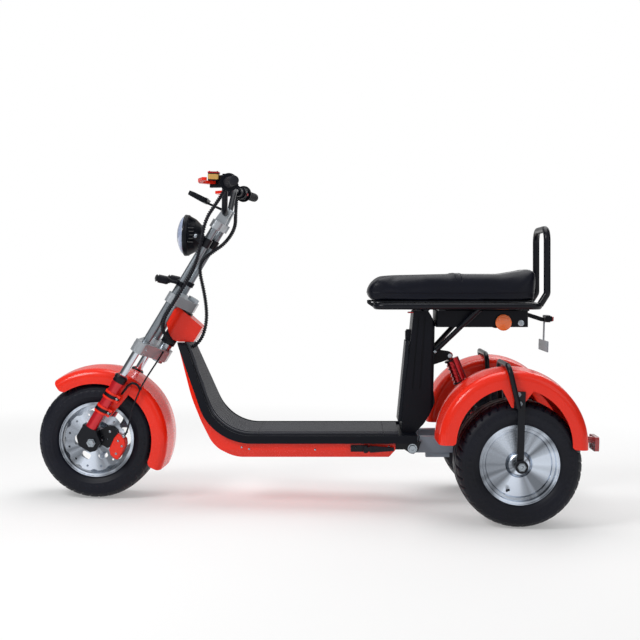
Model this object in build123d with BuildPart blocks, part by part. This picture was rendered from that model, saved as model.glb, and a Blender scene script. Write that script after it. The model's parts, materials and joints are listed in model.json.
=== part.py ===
from build123d import *
from math import atan2, cos, hypot, radians, sin, tan
import os

os.makedirs("parts", exist_ok=True)

# Ground frame: X to the rear, Y to the rider's right, Z up, the ground at z = 0
# The deck and the seat stand level in the body frame, which dips its nose against the ground
nose_dip = 1.62
ahead_u = -600
whole_length = 1200

# Tyres, rims and axles
tyre_r = 215
tyre_width = 205
rim_r = 147
rim_bead_r = 127
rim_width = 176
front_axle_x = -777.3
rear_axle_x = 717.2
wheel_track = 566
axle_r = 10
running_gap = 0.3
fit_gap = 0.15
soft_gap = 0.3

# Steering axis
rake = 29.5
steer_x = -507
steer_z = 633.5

# Fork
leg_p = -61
leg_y = 142
leg_r = 20
stanchion_r = 14
upper_tube_p = -57
upper_tube_y = 95
upper_tube_r = 14
lower_clamp_q = (-140, -97)
upper_bridge_q = (68, 105)
top_yoke_q = (382, 412)
leg_top_q = -249
foot_half = 15
stem_r = 15
stem_q = (-140, 105)
head_tube_r = 27
head_tube_q = (-76, 64)

# Handlebar
bar_r = 11
bar_p = -59
bar_q = 450
bar_rise_y = 70
bar_out_y = 150
grip_p = -47
grip_q = 562
grip_r = 16.5
grip_inner_y = 250
bar_end_y = 368
grip_cap = 5
grip_back = 0.242
grip_rise = 0.098

# Deck, seen from the side, in the body frame
mat_w = 272
mat_knee_top = (-437, 590)
mat_knee_corner = (-309, 272)
mat_knee_radius = 165
mat_thickness = 10
mat_half_width = 142
deck_rear_u = 392
lid_front_u = -177
lid_rear_u = 271
seam_gap = 1
trim_depth = 38
trim_half_width = 165
tub_half_width = 152
tub_bottom_w = 180
shield_top_half_width = 88
shield_taper_w = (330, 600)

# Seat group
seat_tube_r = 12
seat_tube_w = 723
seat_loop_u = (246, 834)
seat_loop_y = 145
cushion_bottom_w = seat_tube_w + seat_tube_r + 8
pan_thickness = 5
pan_half_width = 132
column_top_w = seat_tube_w - seat_tube_r - 6
box_top_w = seat_tube_w - 17
hinge_u = seat_loop_u[0] - 24
hinge_w = seat_tube_w + 14
backrest_r = 12.5
backrest_y = 110
backrest_u = seat_loop_u[1] + 30
backrest_height = 280

# Fenders
front_fender_r = tyre_r + 53
front_fender_skirt_r = tyre_r - 9
front_fender_half_width = 117
fender_wall = 3
rear_fender_x = 694
rear_fender_z = tyre_r + 66
rear_fender_r = tyre_r + 45
rear_fender_skirt_r = tyre_r - 20
rear_fender_half_width = 110

dip_cos = cos(radians(nose_dip))
dip_sin = sin(radians(nose_dip))
rake_cos = cos(radians(rake))
rake_sin = sin(radians(rake))
rear_axle_y = wheel_track / 2

# The front axle's place in the steering frame, and the feet that hold it
front_axle_p = (front_axle_x - steer_x) * rake_cos - (tyre_r - steer_z) * rake_sin
front_axle_q = (front_axle_x - steer_x) * rake_sin + (tyre_r - steer_z) * rake_cos
foot_q = (front_axle_q - 32.6, front_axle_q + 42.4)
foot_p = (front_axle_p - 57.8, front_axle_p - 4.8)
leg_q = (foot_q[1], leg_top_q)


def on_body(u, w, y=0):
    """A point of the body frame: u along the deck to the rear, w up from the ground's origin."""
    return Vector(u * dip_cos - w * dip_sin, y, u * dip_sin + w * dip_cos)


def on_fork(p, q, y=0):
    """A point of the steering frame: p behind the steering axis, q up along it."""
    return Vector(steer_x + p * rake_cos + q * rake_sin, y, steer_z - p * rake_sin + q * rake_cos)


def body_side(y=0):
    """The body's side view: x is u, y is w, and the normal points to the rider's left."""
    return Plane(origin=(0, y, 0), x_dir=(dip_cos, 0, dip_sin), z_dir=(0, -1, 0))


def body_level(w):
    """The body's plan at a height: x is u and y is the width."""
    return Plane(origin=on_body(0, w), x_dir=(dip_cos, 0, dip_sin), z_dir=(-dip_sin, 0, dip_cos))


def body_front(u):
    """The body seen from the front at a station: x is the width and y is w."""
    return Plane(origin=on_body(u, 0), x_dir=(0, 1, 0), z_dir=(dip_cos, 0, dip_sin))


def fork_side(y=0):
    """The fork's side view: x is p, y is q, and the normal points to the rider's left."""
    return Plane(origin=on_fork(0, 0, y), x_dir=(rake_cos, 0, -rake_sin), z_dir=(0, -1, 0))


def fork_level(q):
    """The fork's plan at a height along the steering axis: x is p and y is the width."""
    return Plane(origin=on_fork(0, q), x_dir=(rake_cos, 0, -rake_sin), z_dir=(rake_sin, 0, rake_cos))


def wheel_side(x, z, y=0):
    """A wheel's side view about its axle: x to the rear and y up."""
    return Plane(origin=(x, y, z), x_dir=(1, 0, 0), z_dir=(0, -1, 0))


def wheel_section(x, z, y=0):
    """A radial section of a wheel: x is the width and y the radius above the axle."""
    return Plane(origin=(x, y, z), x_dir=(0, 1, 0), z_dir=(1, 0, 0))


def round_bar(route, bends, radius):
    """Sweep a round bar along straight runs joined by tangent arcs, into the open part."""
    with BuildLine() as path:
        if bends:
            FilletPolyline(*route, radius=bends)
        else:
            Polyline(*route)
    wire = path.wire()
    with BuildSketch(Plane(origin=wire @ 0, z_dir=wire % 0)) as section:
        Circle(radius)
    sweep(sections=section.sketch, path=wire)


def on_grip(y):
    """A point of the line through a grip, which sweeps back and up towards the bar's end."""
    inboard = bar_end_y - abs(y)
    return on_fork(grip_p - grip_back * inboard, grip_q - grip_rise * inboard, y)


def grip_plane(y):
    """A plane across the grip's line, with its normal pointing outwards along the bar."""
    side = 1 if y > 0 else -1
    outwards = on_grip(side * bar_end_y) - on_grip(side * grip_inner_y)
    return Plane(origin=on_grip(y), x_dir=(rake_cos, 0, -rake_sin), z_dir=outwards)


def bend_radii(route):
    """The radius for each corner of a cord: a share of its shorter run, over the tangent of half the turn."""
    radii = []
    for before, here, after in zip(route, route[1:], route[2:]):
        run_in = here - before
        run_out = after - here
        turn = radians(run_in.get_angle(run_out))
        radii.append(round(0.45 * min(run_in.length, run_out.length) / tan(turn / 2), 1))
    return radii


def finish(builder, label):
    """Name a finished sub-part and write it."""
    builder.part.label = label
    export_step(builder.part, f"parts/{label}.step")


def deck_profile(outer, inner):
    """Close the band between two offsets below the deck's side line, with its rear end square."""
    top_u, top_w = mat_knee_top
    corner_u, corner_w = mat_knee_corner
    slope = atan2(top_w - corner_w, corner_u - top_u)
    shift = tan(slope / 2)
    rows = []
    for depth in (outer, inner):
        start = (top_u - depth / sin(slope), top_w)
        corner = (corner_u - depth * shift, corner_w - depth)
        end = (deck_rear_u, corner_w - depth)
        rows.append((start, corner, end, mat_knee_radius + depth))
    (a0, a1, a2, ar), (b0, b1, b2, br) = rows
    FilletPolyline(a0, a1, a2, radius=[ar])
    Line(a2, b2)
    FilletPolyline(b2, b1, b0, radius=[br])
    Line(b0, a0)


def shield_outline(half_width, top_half_width):
    """The front view of the deck: full width at the floor, narrower up the leg shield."""
    low, high = shield_taper_w
    roof = max(high, mat_knee_top[1]) + 60
    Polyline((-half_width, 0), (half_width, 0), (half_width, low), (top_half_width, high),
             (top_half_width, roof),
             (-top_half_width, roof), (-top_half_width, high), (-half_width, low), close=True)


# Leg shield and floor tub, a pressed steel box with a well for the battery
well_u = (-160, 254)
well_half_width = 124
well_floor_w = 187
well_corner_r = 12
tub_rear_u = 314
tub_top_w = mat_w - trim_depth
tub_top = (-470, mat_knee_top[1] - 34)
tub_bevel = 30
skirt_seam_u = (-218, 94.5)
skirt_seam = 2
tub_side = [tub_top, (-420, 392), (-338, 228), (-262, tub_bottom_w),
            (tub_rear_u - 22, tub_bottom_w), (tub_rear_u, tub_bottom_w + tub_bevel), (tub_rear_u, tub_top_w)]
tub_bends = [400, 120, 110, 10, 6]
with BuildPart() as deck_tub:
    with BuildSketch(body_side()):
        with BuildLine():
            outer = FilletPolyline(*tub_side, radius=tub_bends)
            back = (tub_rear_u, tub_top_w)
            knee = mat_knee_radius + trim_depth
            slope = atan2(mat_knee_top[1] - mat_w, mat_knee_corner[0] - mat_knee_top[0])
            corner = (mat_knee_corner[0] - trim_depth * tan(slope / 2), tub_top_w)
            rise = tub_top[1] - mat_knee_top[1]
            top = (mat_knee_top[0] - trim_depth / sin(slope) - rise / tan(slope), tub_top[1])
            inner = FilletPolyline(back, corner, top, radius=[knee])
            Line(inner @ 1, outer @ 0)
        make_face()
    extrude(amount=tub_half_width, both=True)
    with BuildSketch(body_front(ahead_u)):
        with BuildLine():
            shield_outline(tub_half_width, shield_top_half_width - 12)
        make_face()
    extrude(amount=whole_length, mode=Mode.INTERSECT)
    # The lower edges slope in to the bottom, and the leg shield's front narrows to a prow
    for side in (-1, 1):
        with BuildSketch(body_front(ahead_u)):
            with BuildLine():
                Polyline((side * tub_half_width, tub_bottom_w + tub_bevel),
                         (side * (tub_half_width - tub_bevel), tub_bottom_w),
                         (side * (tub_half_width + 9), tub_bottom_w - 9), close=True)
            make_face()
        extrude(amount=whole_length, mode=Mode.SUBTRACT)
        with BuildSketch(body_level(tub_bottom_w - 20)):
            with BuildLine():
                Polyline((tub_top[0] - 60, side * 20), (tub_top[0] + 95, side * (tub_half_width + 4)),
                         (tub_top[0] - 60, side * (tub_half_width + 4)), close=True)
            make_face()
        extrude(amount=500, mode=Mode.SUBTRACT)
        for u in skirt_seam_u:
            with BuildSketch(body_side(side * tub_half_width)):
                with Locations((u, tub_bottom_w + 20)):
                    Rectangle(skirt_seam, 90)
            extrude(amount=1.5, both=True, mode=Mode.SUBTRACT)
    with BuildSketch(body_level(well_floor_w)):
        with Locations(((well_u[0] + well_u[1]) / 2, 0)):
            RectangleRounded(well_u[1] - well_u[0], 2 * well_half_width, well_corner_r)
    extrude(amount=200, mode=Mode.SUBTRACT)
finish(deck_tub, "deck_tub")

# Black trim that wraps the edge of the floor, with a shoulder that slopes up to the mat
shoulder = 11
with BuildPart() as deck_trim:
    with BuildSketch(body_side()):
        with BuildLine():
            deck_profile(0, trim_depth)
        make_face()
    extrude(amount=trim_half_width, both=True)
    with BuildSketch(body_front(ahead_u)):
        with BuildLine():
            shield_outline(trim_half_width, shield_top_half_width)
        make_face()
    extrude(amount=whole_length, mode=Mode.INTERSECT)
    top_faces = [face for face in deck_trim.faces() if abs(face.center().Y) < 1 and face.normal_at().Z > 0.3]
    rims = [edge for face in top_faces for edge in face.edges()
            if abs(edge.position_at(0.5).Y) > shield_top_half_width / 2]
    chamfer(rims, shoulder)
    with BuildSketch(body_side()) as side_view:
        with BuildLine():
            deck_profile(-30, mat_thickness)
        make_face()
    with BuildSketch(body_front(ahead_u)) as front_view:
        with BuildLine():
            shield_outline(mat_half_width + seam_gap, shield_top_half_width - 22)
        make_face()
    band = extrude(to_extrude=side_view.sketch, amount=mat_half_width + seam_gap, both=True,
                   mode=Mode.PRIVATE)
    lane = extrude(to_extrude=front_view.sketch, amount=whole_length, mode=Mode.PRIVATE)
    add(band & lane, mode=Mode.SUBTRACT)
    with BuildSketch(body_level(well_floor_w)):
        with Locations(((well_u[0] + well_u[1]) / 2, 0)):
            RectangleRounded(well_u[1] - well_u[0], 2 * well_half_width, well_corner_r)
    extrude(amount=200, mode=Mode.SUBTRACT)
finish(deck_trim, "deck_trim")


rib_height = 3
rib_width = 13
rib_pitch = 23
ribs_each_side = 5


def mat_band(front_u, rear_u):
    """Add the stretch of mat between two stations of the floor to the open part, with ribs along it."""
    with BuildSketch(body_side()) as sheet_side:
        with BuildLine():
            deck_profile(rib_height, mat_thickness - soft_gap)
        make_face()
    with BuildSketch(body_side()) as rib_side:
        with BuildLine():
            deck_profile(0, rib_height + 1)
        make_face()
    with BuildSketch(body_front(ahead_u)) as front_view:
        with BuildLine():
            shield_outline(mat_half_width, shield_top_half_width - 23)
        make_face()
    with BuildSketch(body_side()) as stretch:
        with Locations(((front_u + rear_u) / 2, 400)):
            Rectangle(rear_u - front_u, 800)
    with BuildSketch(body_front(ahead_u)) as comb:
        for i in range(-ribs_each_side, ribs_each_side + 1):
            with Locations((i * rib_pitch, 400)):
                Rectangle(rib_width, 700)
    sheet = extrude(to_extrude=sheet_side.sketch, amount=mat_half_width, both=True, mode=Mode.PRIVATE)
    ribs = extrude(to_extrude=rib_side.sketch, amount=mat_half_width, both=True, mode=Mode.PRIVATE)
    lane = extrude(to_extrude=front_view.sketch, amount=whole_length, mode=Mode.PRIVATE)
    window = extrude(to_extrude=stretch.sketch, amount=400, both=True, mode=Mode.PRIVATE)
    rows = extrude(to_extrude=comb.sketch, amount=whole_length, mode=Mode.PRIVATE)
    add(sheet & lane & window)
    add(ribs & lane & window & rows)


# Fixed floor mat, up the leg shield and behind the lid
mat_rear_u = 326
with BuildPart() as floor_mat:
    mat_band(ahead_u, lid_front_u - seam_gap)
    mat_band(lid_rear_u + seam_gap, mat_rear_u)
finish(floor_mat, "floor_mat")

# Lid over the battery well
with BuildPart() as deck_lid:
    mat_band(lid_front_u, lid_rear_u)
finish(deck_lid, "deck_lid")

# Drive battery in the well
battery_size = (400, 236, 68)
with BuildPart() as battery:
    with BuildSketch(body_level(well_floor_w)):
        with Locations(((well_u[0] + well_u[1]) / 2, 0)):
            RectangleRounded(battery_size[0], battery_size[1], 8)
    extrude(amount=battery_size[2])
finish(battery, "battery")

# Neck: red housing round the head tube, round in front and square behind, standing on the leg shield
neck_half_width = 46
neck_foot_w = mat_knee_top[1]
neck_side = [(-500, 708), (-480, 719), (-392, 643), (-424, neck_foot_w), (-478, neck_foot_w),
             (-500, neck_foot_w + 8), (-514, 621), (-526, 658)]
with BuildPart() as neck:
    with BuildSketch(body_side()):
        with BuildLine():
            Polyline(*neck_side, close=True)
        make_face()
    extrude(amount=neck_half_width, both=True)
    with BuildSketch(fork_level(head_tube_q[0] - 120)):
        Circle(neck_half_width)
        with BuildLine():
            Polyline((0, -neck_half_width), (140, -neck_half_width + 8), (140, neck_half_width - 8),
                     (0, neck_half_width),
                     close=True)
        make_face()
    extrude(amount=400, mode=Mode.INTERSECT)
    with BuildSketch(fork_level(head_tube_q[0] - 40)):
        Circle(head_tube_r + fit_gap)
    extrude(amount=260, mode=Mode.SUBTRACT)
finish(neck, "neck")

with BuildPart() as head_tube:
    with BuildSketch(fork_level(head_tube_q[0])):
        Circle(head_tube_r)
        Circle(stem_r + running_gap, mode=Mode.SUBTRACT)
    extrude(amount=head_tube_q[1] - head_tube_q[0])
finish(head_tube, "head_tube")

# Seat column, moulded with grooves and a rounded back, and the upper lugs of the shock absorber
axle_beam_u = 640
shock_top = (520, 538)
shock_low = (axle_beam_u, 246)
shock_pin_r = 5
shock_eye_half = 14
lug_thickness = 6
lug_y = shock_eye_half + running_gap + lug_thickness / 2
column_half_width = 80
column_u = (300, 462)
column_rear_u = column_u[1]
column_foot_w = mat_w - mat_thickness
groove_depth = 4
column_side = [(383, column_top_w - 5), (366, 530), (349, 405), (339, 294), (339, column_foot_w),
               (390, column_foot_w),
               (420, 293), (441, 326), (column_rear_u, 371), (456, 413), (column_rear_u, 661),
               (446, column_top_w - 15), (437, column_top_w), (388, column_top_w)]
groove_lines = [((399, column_top_w - 20), (377, 420), 5), ((421, column_top_w - 20), (404, 420), 7)]
with BuildPart() as seat_column:
    with BuildSketch(body_side()):
        with BuildLine():
            Polyline(*column_side, close=True)
        make_face()
    extrude(amount=column_half_width, both=True)
    with BuildSketch(body_level(0)):
        with Locations(((column_u[0] + column_u[1]) / 2, 0)):
            RectangleRounded(column_u[1] - column_u[0], 2 * column_half_width, 18)
    extrude(amount=900, mode=Mode.INTERSECT)
    for side in (-1, 1):
        for (u_top, w_top), (u_low, w_low), width in groove_lines:
            with BuildSketch(body_side(side * column_half_width)):
                with BuildLine():
                    Polyline((u_top, w_top), (u_low, w_low), (u_low + width, w_low), (u_top + width, w_top),
                             close=True)
                make_face()
            extrude(amount=groove_depth, both=True, mode=Mode.SUBTRACT)
        with BuildSketch(body_side(side * lug_y)):
            with BuildLine():
                Polyline((450, 500), (shock_top[0], shock_top[1] - 14), (shock_top[0] + 13, shock_top[1]),
                         (shock_top[0], shock_top[1] + 14), (450, 562), close=True)
            make_face()
        extrude(amount=lug_thickness / 2, both=True)
    with BuildSketch(body_side()):
        with Locations(shock_top):
            Circle(shock_pin_r)
    extrude(amount=lug_y + 10, both=True)
finish(seat_column, "seat_column")

# Grey panel on the column's front, with a latch at its top
with BuildPart() as column_panel:
    with BuildSketch(body_side()):
        with BuildLine():
            Polyline((356, 593), (366, 593), (365.7, 530), (348.7, 405), (339.3, 300), (327, 300), close=True)
        make_face()
    extrude(amount=62, both=True)
    with BuildSketch(body_side()):
        with BuildLine():
            Polyline((360, 590), (357, 598), (357, 626), (362, 634), (377, 634), (372, 590), close=True)
        make_face()
    extrude(amount=15, both=True)
    add(seat_column.part, mode=Mode.SUBTRACT)
finish(column_panel, "column_panel")

# Swing arm and its pivot plates
pivot_u = 376.7
pivot_w = 209.6
arm_y = 95
arm_thickness = 34
pivot_pin_r = 8
plate_y = (arm_y + arm_thickness / 2 + 1, arm_y + arm_thickness / 2 + 8)
with BuildPart() as pivot_plates:
    for side in (-1, 1):
        with BuildSketch(body_side(side * (plate_y[0] + plate_y[1]) / 2)):
            with BuildLine():
                Polyline((tub_rear_u + 1, 226), (364, 196), (381, 190), (398, 204), (408, tub_top_w),
                         (tub_rear_u + 1, tub_top_w), close=True)
            make_face()
        extrude(amount=(plate_y[1] - plate_y[0]) / 2, both=True)
    with BuildSketch(body_side()):
        with Locations((pivot_u, pivot_w)):
            Circle(pivot_pin_r)
    extrude(amount=plate_y[1], both=True)
    with BuildSketch(body_side()):
        with Locations((tub_rear_u + 16, tub_top_w - 14)):
            Rectangle(30, 28)
    extrude(amount=plate_y[1], both=True)
finish(pivot_plates, "pivot_plates")

beam_half_width = rear_axle_y - tyre_width / 2 - 30
with BuildPart() as swing_arm:
    for side in (-1, 1):
        with BuildSketch(body_side(side * arm_y)):
            with BuildLine():
                Polyline((pivot_u, 194), (520, 194), (axle_beam_u + 30, 168), (axle_beam_u + 30, 222),
                         (520, 251), (404, 251),
                         (398, 229), (pivot_u, 229), close=True)
            make_face()
            with Locations((pivot_u, pivot_w)):
                Circle(20)
        extrude(amount=arm_thickness / 2, both=True)
        with BuildSketch(body_side(side * arm_y)):
            with Locations((468, 188)):
                Rectangle(86, 22)
        extrude(amount=arm_thickness / 2 - 4, both=True)
    with BuildSketch(body_side()):
        with Locations((axle_beam_u, 195)):
            RectangleRounded(50, 50, 5)
    extrude(amount=beam_half_width, both=True)
    with BuildSketch(body_side()):
        with Locations((pivot_u, pivot_w)):
            Circle(pivot_pin_r + fit_gap)
    extrude(amount=300, both=True, mode=Mode.SUBTRACT)
    for side in (-1, 1):
        with BuildSketch(body_side(side * lug_y)):
            with BuildLine():
                Polyline((axle_beam_u - 20, 210), (axle_beam_u + 20, 210),
                         (axle_beam_u + 12, shock_low[1] + 12),
                         (axle_beam_u - 12, shock_low[1] + 12), close=True)
            make_face()
        extrude(amount=lug_thickness / 2, both=True)
    with BuildSketch(body_side()):
        with Locations(shock_low):
            Circle(shock_pin_r)
    extrude(amount=lug_y + 10, both=True)
finish(swing_arm, "swing_arm")

# Rear axles, each held by a plate on the swing arm's beam
with BuildPart() as rear_axles:
    for side in (-1, 1):
        with BuildSketch(wheel_side(rear_axle_x, tyre_r, side * beam_half_width)):
            Circle(axle_r)
        extrude(amount=-side * (rear_axle_y + rear_fender_half_width + 22 - beam_half_width))
        with BuildSketch(wheel_side(rear_axle_x, tyre_r, side * beam_half_width)):
            with BuildLine():
                Polyline((-110, -40), (0, -30), (28, 0), (0, 30), (-110, 40), close=True)
            make_face()
        extrude(amount=-side * 10)
finish(rear_axles, "rear_axles")


def tyre_section():
    """Draw a tyre's section: crowned tread, round shoulders, bulged walls and two beads."""
    half = tyre_width / 2
    seat = rim_width / 2 - 10
    wall = tyre_r - rim_r
    bead = [(seat, rim_bead_r + 0.4), (seat + 4, rim_r + 0.6), (half - 5, rim_r + 0.074 * wall),
            (half, rim_r + 0.294 * wall), (half, rim_r + 0.412 * wall), (half - 5, rim_r + 0.706 * wall),
            (half - 16, rim_r + 0.868 * wall), (half - 38, rim_r + 0.971 * wall)]
    Polyline(*[(-x, r) for x, r in bead], (0, tyre_r), *bead[::-1], close=True)


def make_tyre(x, y, label):
    """A tyre on its rim at the given wheel centre."""
    with BuildPart() as tyre:
        with BuildSketch(wheel_section(x, tyre_r, y)):
            with BuildLine():
                tyre_section()
            make_face()
        revolve(axis=Axis((x, y, tyre_r), (0, 1, 0)))
    finish(tyre, label)


# Each row is a wheel's name, and its centre's x and y
wheel_rows = [("front", front_axle_x, 0), ("rear_left", rear_axle_x, -rear_axle_y),
              ("rear_right", rear_axle_x, rear_axle_y)]
for name, x, y in wheel_rows:
    make_tyre(x, y, f"{name}_tyre")

rim_wall = 4
rim_step = 7


def rim_section():
    """Draw the section of a rim's barrel, its stepped lips and its two flanges."""
    half = rim_width / 2
    well = rim_bead_r - rim_wall
    row = [(half - 9, rim_bead_r), (half - 5, rim_r), (half, rim_r), (half, rim_r - rim_step),
           (half - 3, rim_r - rim_step - 1), (half - 3, rim_r - 2 * rim_step),
           (half - 6, rim_r - 2 * rim_step - 1),
           (half - 6, rim_bead_r - 2), (half - 12, well)]
    Polyline(*[(-x, r) for x, r in row[::-1]], *row, close=True)


# Front rim: barrel, six broad spokes and hub
spoke_count = 6
spoke_y = 22
spoke_thickness = 14
front_hub_r = 34
front_hub_half = 60
with BuildPart() as front_rim:
    with BuildSketch(wheel_section(front_axle_x, tyre_r)):
        with BuildLine():
            rim_section()
        make_face()
    revolve(axis=Axis((front_axle_x, 0, tyre_r), (0, 1, 0)))
    with BuildSketch(wheel_side(front_axle_x, tyre_r, spoke_y)):
        Circle(rim_bead_r - 3)
        with PolarLocations(84, spoke_count):
            RectangleRounded(44, 66, 18, mode=Mode.SUBTRACT)
    extrude(amount=spoke_thickness)
    with BuildSketch(wheel_side(front_axle_x, tyre_r, front_hub_half)):
        Circle(front_hub_r)
    extrude(amount=2 * front_hub_half)
    with BuildSketch(wheel_side(front_axle_x, tyre_r, 100)):
        Circle(axle_r + running_gap)
    extrude(amount=200, mode=Mode.SUBTRACT)
finish(front_rim, "front_rim")

# Rear hub motors: barrel closed by a dished cover each side, with a collar round the axle
dish_r = 111
collar_r = 42
dish_depth = 30
for name, x, y in wheel_rows[1:]:
    face = rim_width / 2 - dish_depth
    with BuildPart() as rim:
        with BuildSketch(wheel_section(x, tyre_r, y)):
            with BuildLine():
                rim_section()
            make_face()
        revolve(axis=Axis((x, y, tyre_r), (0, 1, 0)))
        with BuildSketch(wheel_section(x, tyre_r, y)):
            with BuildLine():
                cover = [(face + 8, axle_r + running_gap), (face + 24, axle_r + running_gap),
                         (face + 24, 33), (face + 21, 37),
                         (face + 10, collar_r), (face + 6, collar_r + 4), (face, dish_r),
                         (face + 6, dish_r + 3),
                         (face + 8, rim_bead_r - 3)]
                Polyline(*[(-a, r) for a, r in cover[1:]][::-1], *cover[1:], close=True)
            make_face()
        revolve(axis=Axis((x, y, tyre_r), (0, 1, 0)))
    finish(rim, f"{name}_hub")


def fender(x, z, y, crown_r, skirt_r, half_width, start, span, end_round, tab_sides, label):
    """A curved mudguard: an arched shell about its own centre, cut to a sector with rounded ends.

    Angles run from the top towards the rear. A tab for the stay hangs from the skirt on each listed side.
    """
    with BuildPart() as shell:
        with BuildSketch(wheel_section(x, z, y)):
            with BuildLine():
                rows = []
                for wall in (0, fender_wall):
                    half = half_width - wall
                    crown = crown_r - wall
                    edge = [(half, skirt_r), (half, crown_r - 10 - wall)]
                    route = [(-a, r) for a, r in edge] + [(0, crown)] + edge[::-1]
                    rows.append(FilletPolyline(*route, radius=[30 - wall, 260 - wall, 30 - wall]))
                Line(rows[0] @ 0, rows[1] @ 0)
                Line(rows[0] @ 1, rows[1] @ 1)
            make_face()
        revolve(axis=Axis((x, y, z), (0, 1, 0)))
        with BuildSketch(wheel_side(x, z, y)) as sector:
            with BuildLine():
                outside = CenterArc((0, 0), crown_r + 1, 90 - start, -span)
                inside = CenterArc((0, 0), skirt_r - 1, 90 - start, -span)
                Line(outside @ 0, inside @ 0)
                Line(outside @ 1, inside @ 1)
            make_face()
            fillet(sector.vertices(), end_round)
        extrude(amount=half_width + 5, both=True, mode=Mode.INTERSECT)
        for side in tab_sides:
            with BuildSketch(wheel_side(x, z, y + side * (half_width - fender_wall / 2))):
                with BuildLine():
                    Polyline((-58, skirt_r + 6), (-46, skirt_r - 8), (-14, skirt_r - 66), (18, skirt_r - 66),
                             (56, skirt_r - 12), (70, skirt_r + 2), (58, skirt_r + 10), (0, skirt_r + 16),
                             close=True)
                make_face()
            extrude(amount=fender_wall / 2, both=True)
    finish(shell, label)
    return shell


fender(front_axle_x, tyre_r, 0, front_fender_r, front_fender_skirt_r, front_fender_half_width, -37, 151, 24, (),
       "front_fender")
fenders = {}
for name, x, y in wheel_rows[1:]:
    outer_side = -1 if y < 0 else 1
    fenders[name] = fender(rear_fender_x, rear_fender_z, y, rear_fender_r, rear_fender_skirt_r,
                           rear_fender_half_width,
                           -91, 183, 16, (outer_side,), f"{name}_fender")

# Lower clamp of the fork, with a socket for each leg and upper tube
with BuildPart() as lower_clamp:
    low, high = lower_clamp_q
    with BuildSketch(fork_level(low)):
        with Locations((leg_p, -leg_y), (leg_p, leg_y)):
            Circle(25)
        with BuildLine():
            Polyline((leg_p - 20, -leg_y + 5), (leg_p - 22, 0), (leg_p - 20, leg_y - 5), (leg_p + 22, leg_y),
                     (30, 30), (30, -30), (leg_p + 22, -leg_y), close=True)
        make_face()
        with Locations((leg_p, -leg_y), (leg_p, leg_y)):
            Circle(stanchion_r + fit_gap, mode=Mode.SUBTRACT)
        with Locations((upper_tube_p, -upper_tube_y), (upper_tube_p, upper_tube_y)):
            Circle(upper_tube_r + fit_gap, mode=Mode.SUBTRACT)
        Circle(stem_r + fit_gap, mode=Mode.SUBTRACT)
    extrude(amount=high - low)
finish(lower_clamp, "lower_clamp")

# Upper bridge
with BuildPart() as upper_bridge:
    low, high = upper_bridge_q
    with BuildSketch(fork_level(low)):
        with Locations((upper_tube_p, -upper_tube_y), (upper_tube_p, upper_tube_y)):
            Circle(22)
        with BuildLine():
            Polyline((upper_tube_p - 12, -upper_tube_y), (upper_tube_p - 12, upper_tube_y),
                     (upper_tube_p + 18, upper_tube_y), (24, 26), (24, -26),
                     (upper_tube_p + 18, -upper_tube_y), close=True)
        make_face()
        with Locations((upper_tube_p, -upper_tube_y), (upper_tube_p, upper_tube_y)):
            Circle(upper_tube_r + fit_gap, mode=Mode.SUBTRACT)
        Circle(stem_r + fit_gap, mode=Mode.SUBTRACT)
    extrude(amount=high - low)
finish(upper_bridge, "upper_bridge")

# Steering stem through the head tube, with its crown race and lock nut
with BuildPart() as steering_stem:
    with BuildSketch(fork_level(stem_q[0] - 14)):
        Circle(stem_r)
    extrude(amount=stem_q[1] - stem_q[0] + 28)
    with BuildSketch(fork_level(lower_clamp_q[1])):
        Circle(23)
    extrude(amount=head_tube_q[0] - lower_clamp_q[1] - running_gap)
    for q in (stem_q[0] - 14, stem_q[1]):
        with BuildSketch(fork_level(q)):
            RegularPolygon(21, 6)
        extrude(amount=14)
finish(steering_stem, "steering_stem")

with BuildPart() as upper_tubes:
    with BuildSketch(fork_level(lower_clamp_q[0])):
        with Locations((upper_tube_p, -upper_tube_y), (upper_tube_p, upper_tube_y)):
            Circle(upper_tube_r)
    extrude(amount=top_yoke_q[1] - lower_clamp_q[0])
finish(upper_tubes, "upper_tubes")

with BuildPart() as stanchions:
    with BuildSketch(fork_level(leg_q[1] - 120)):
        with Locations((leg_p, -leg_y), (leg_p, leg_y)):
            Circle(stanchion_r)
    extrude(amount=lower_clamp_q[1] - leg_q[1] + 120)
finish(stanchions, "stanchions")

# Lower legs with a raised lip and a dust seal at the top of each
seal_height = 9
with BuildPart() as fork_legs:
    leg_low, leg_high = leg_q
    for q, radius, height in ((leg_low, leg_r, leg_high - leg_low), (leg_high - 30, leg_r + 2, 30),
                              (leg_high, leg_r + 1, seal_height), (leg_high + seal_height, leg_r - 3, 5)):
        with BuildSketch(fork_level(q)):
            with Locations((leg_p, -leg_y), (leg_p, leg_y)):
                Circle(radius)
        extrude(amount=height)
    with BuildSketch(fork_level(leg_high - 122)):
        with Locations((leg_p, -leg_y), (leg_p, leg_y)):
            Circle(stanchion_r + fit_gap)
    extrude(amount=200, mode=Mode.SUBTRACT)
finish(fork_legs, "fork_legs")

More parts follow.
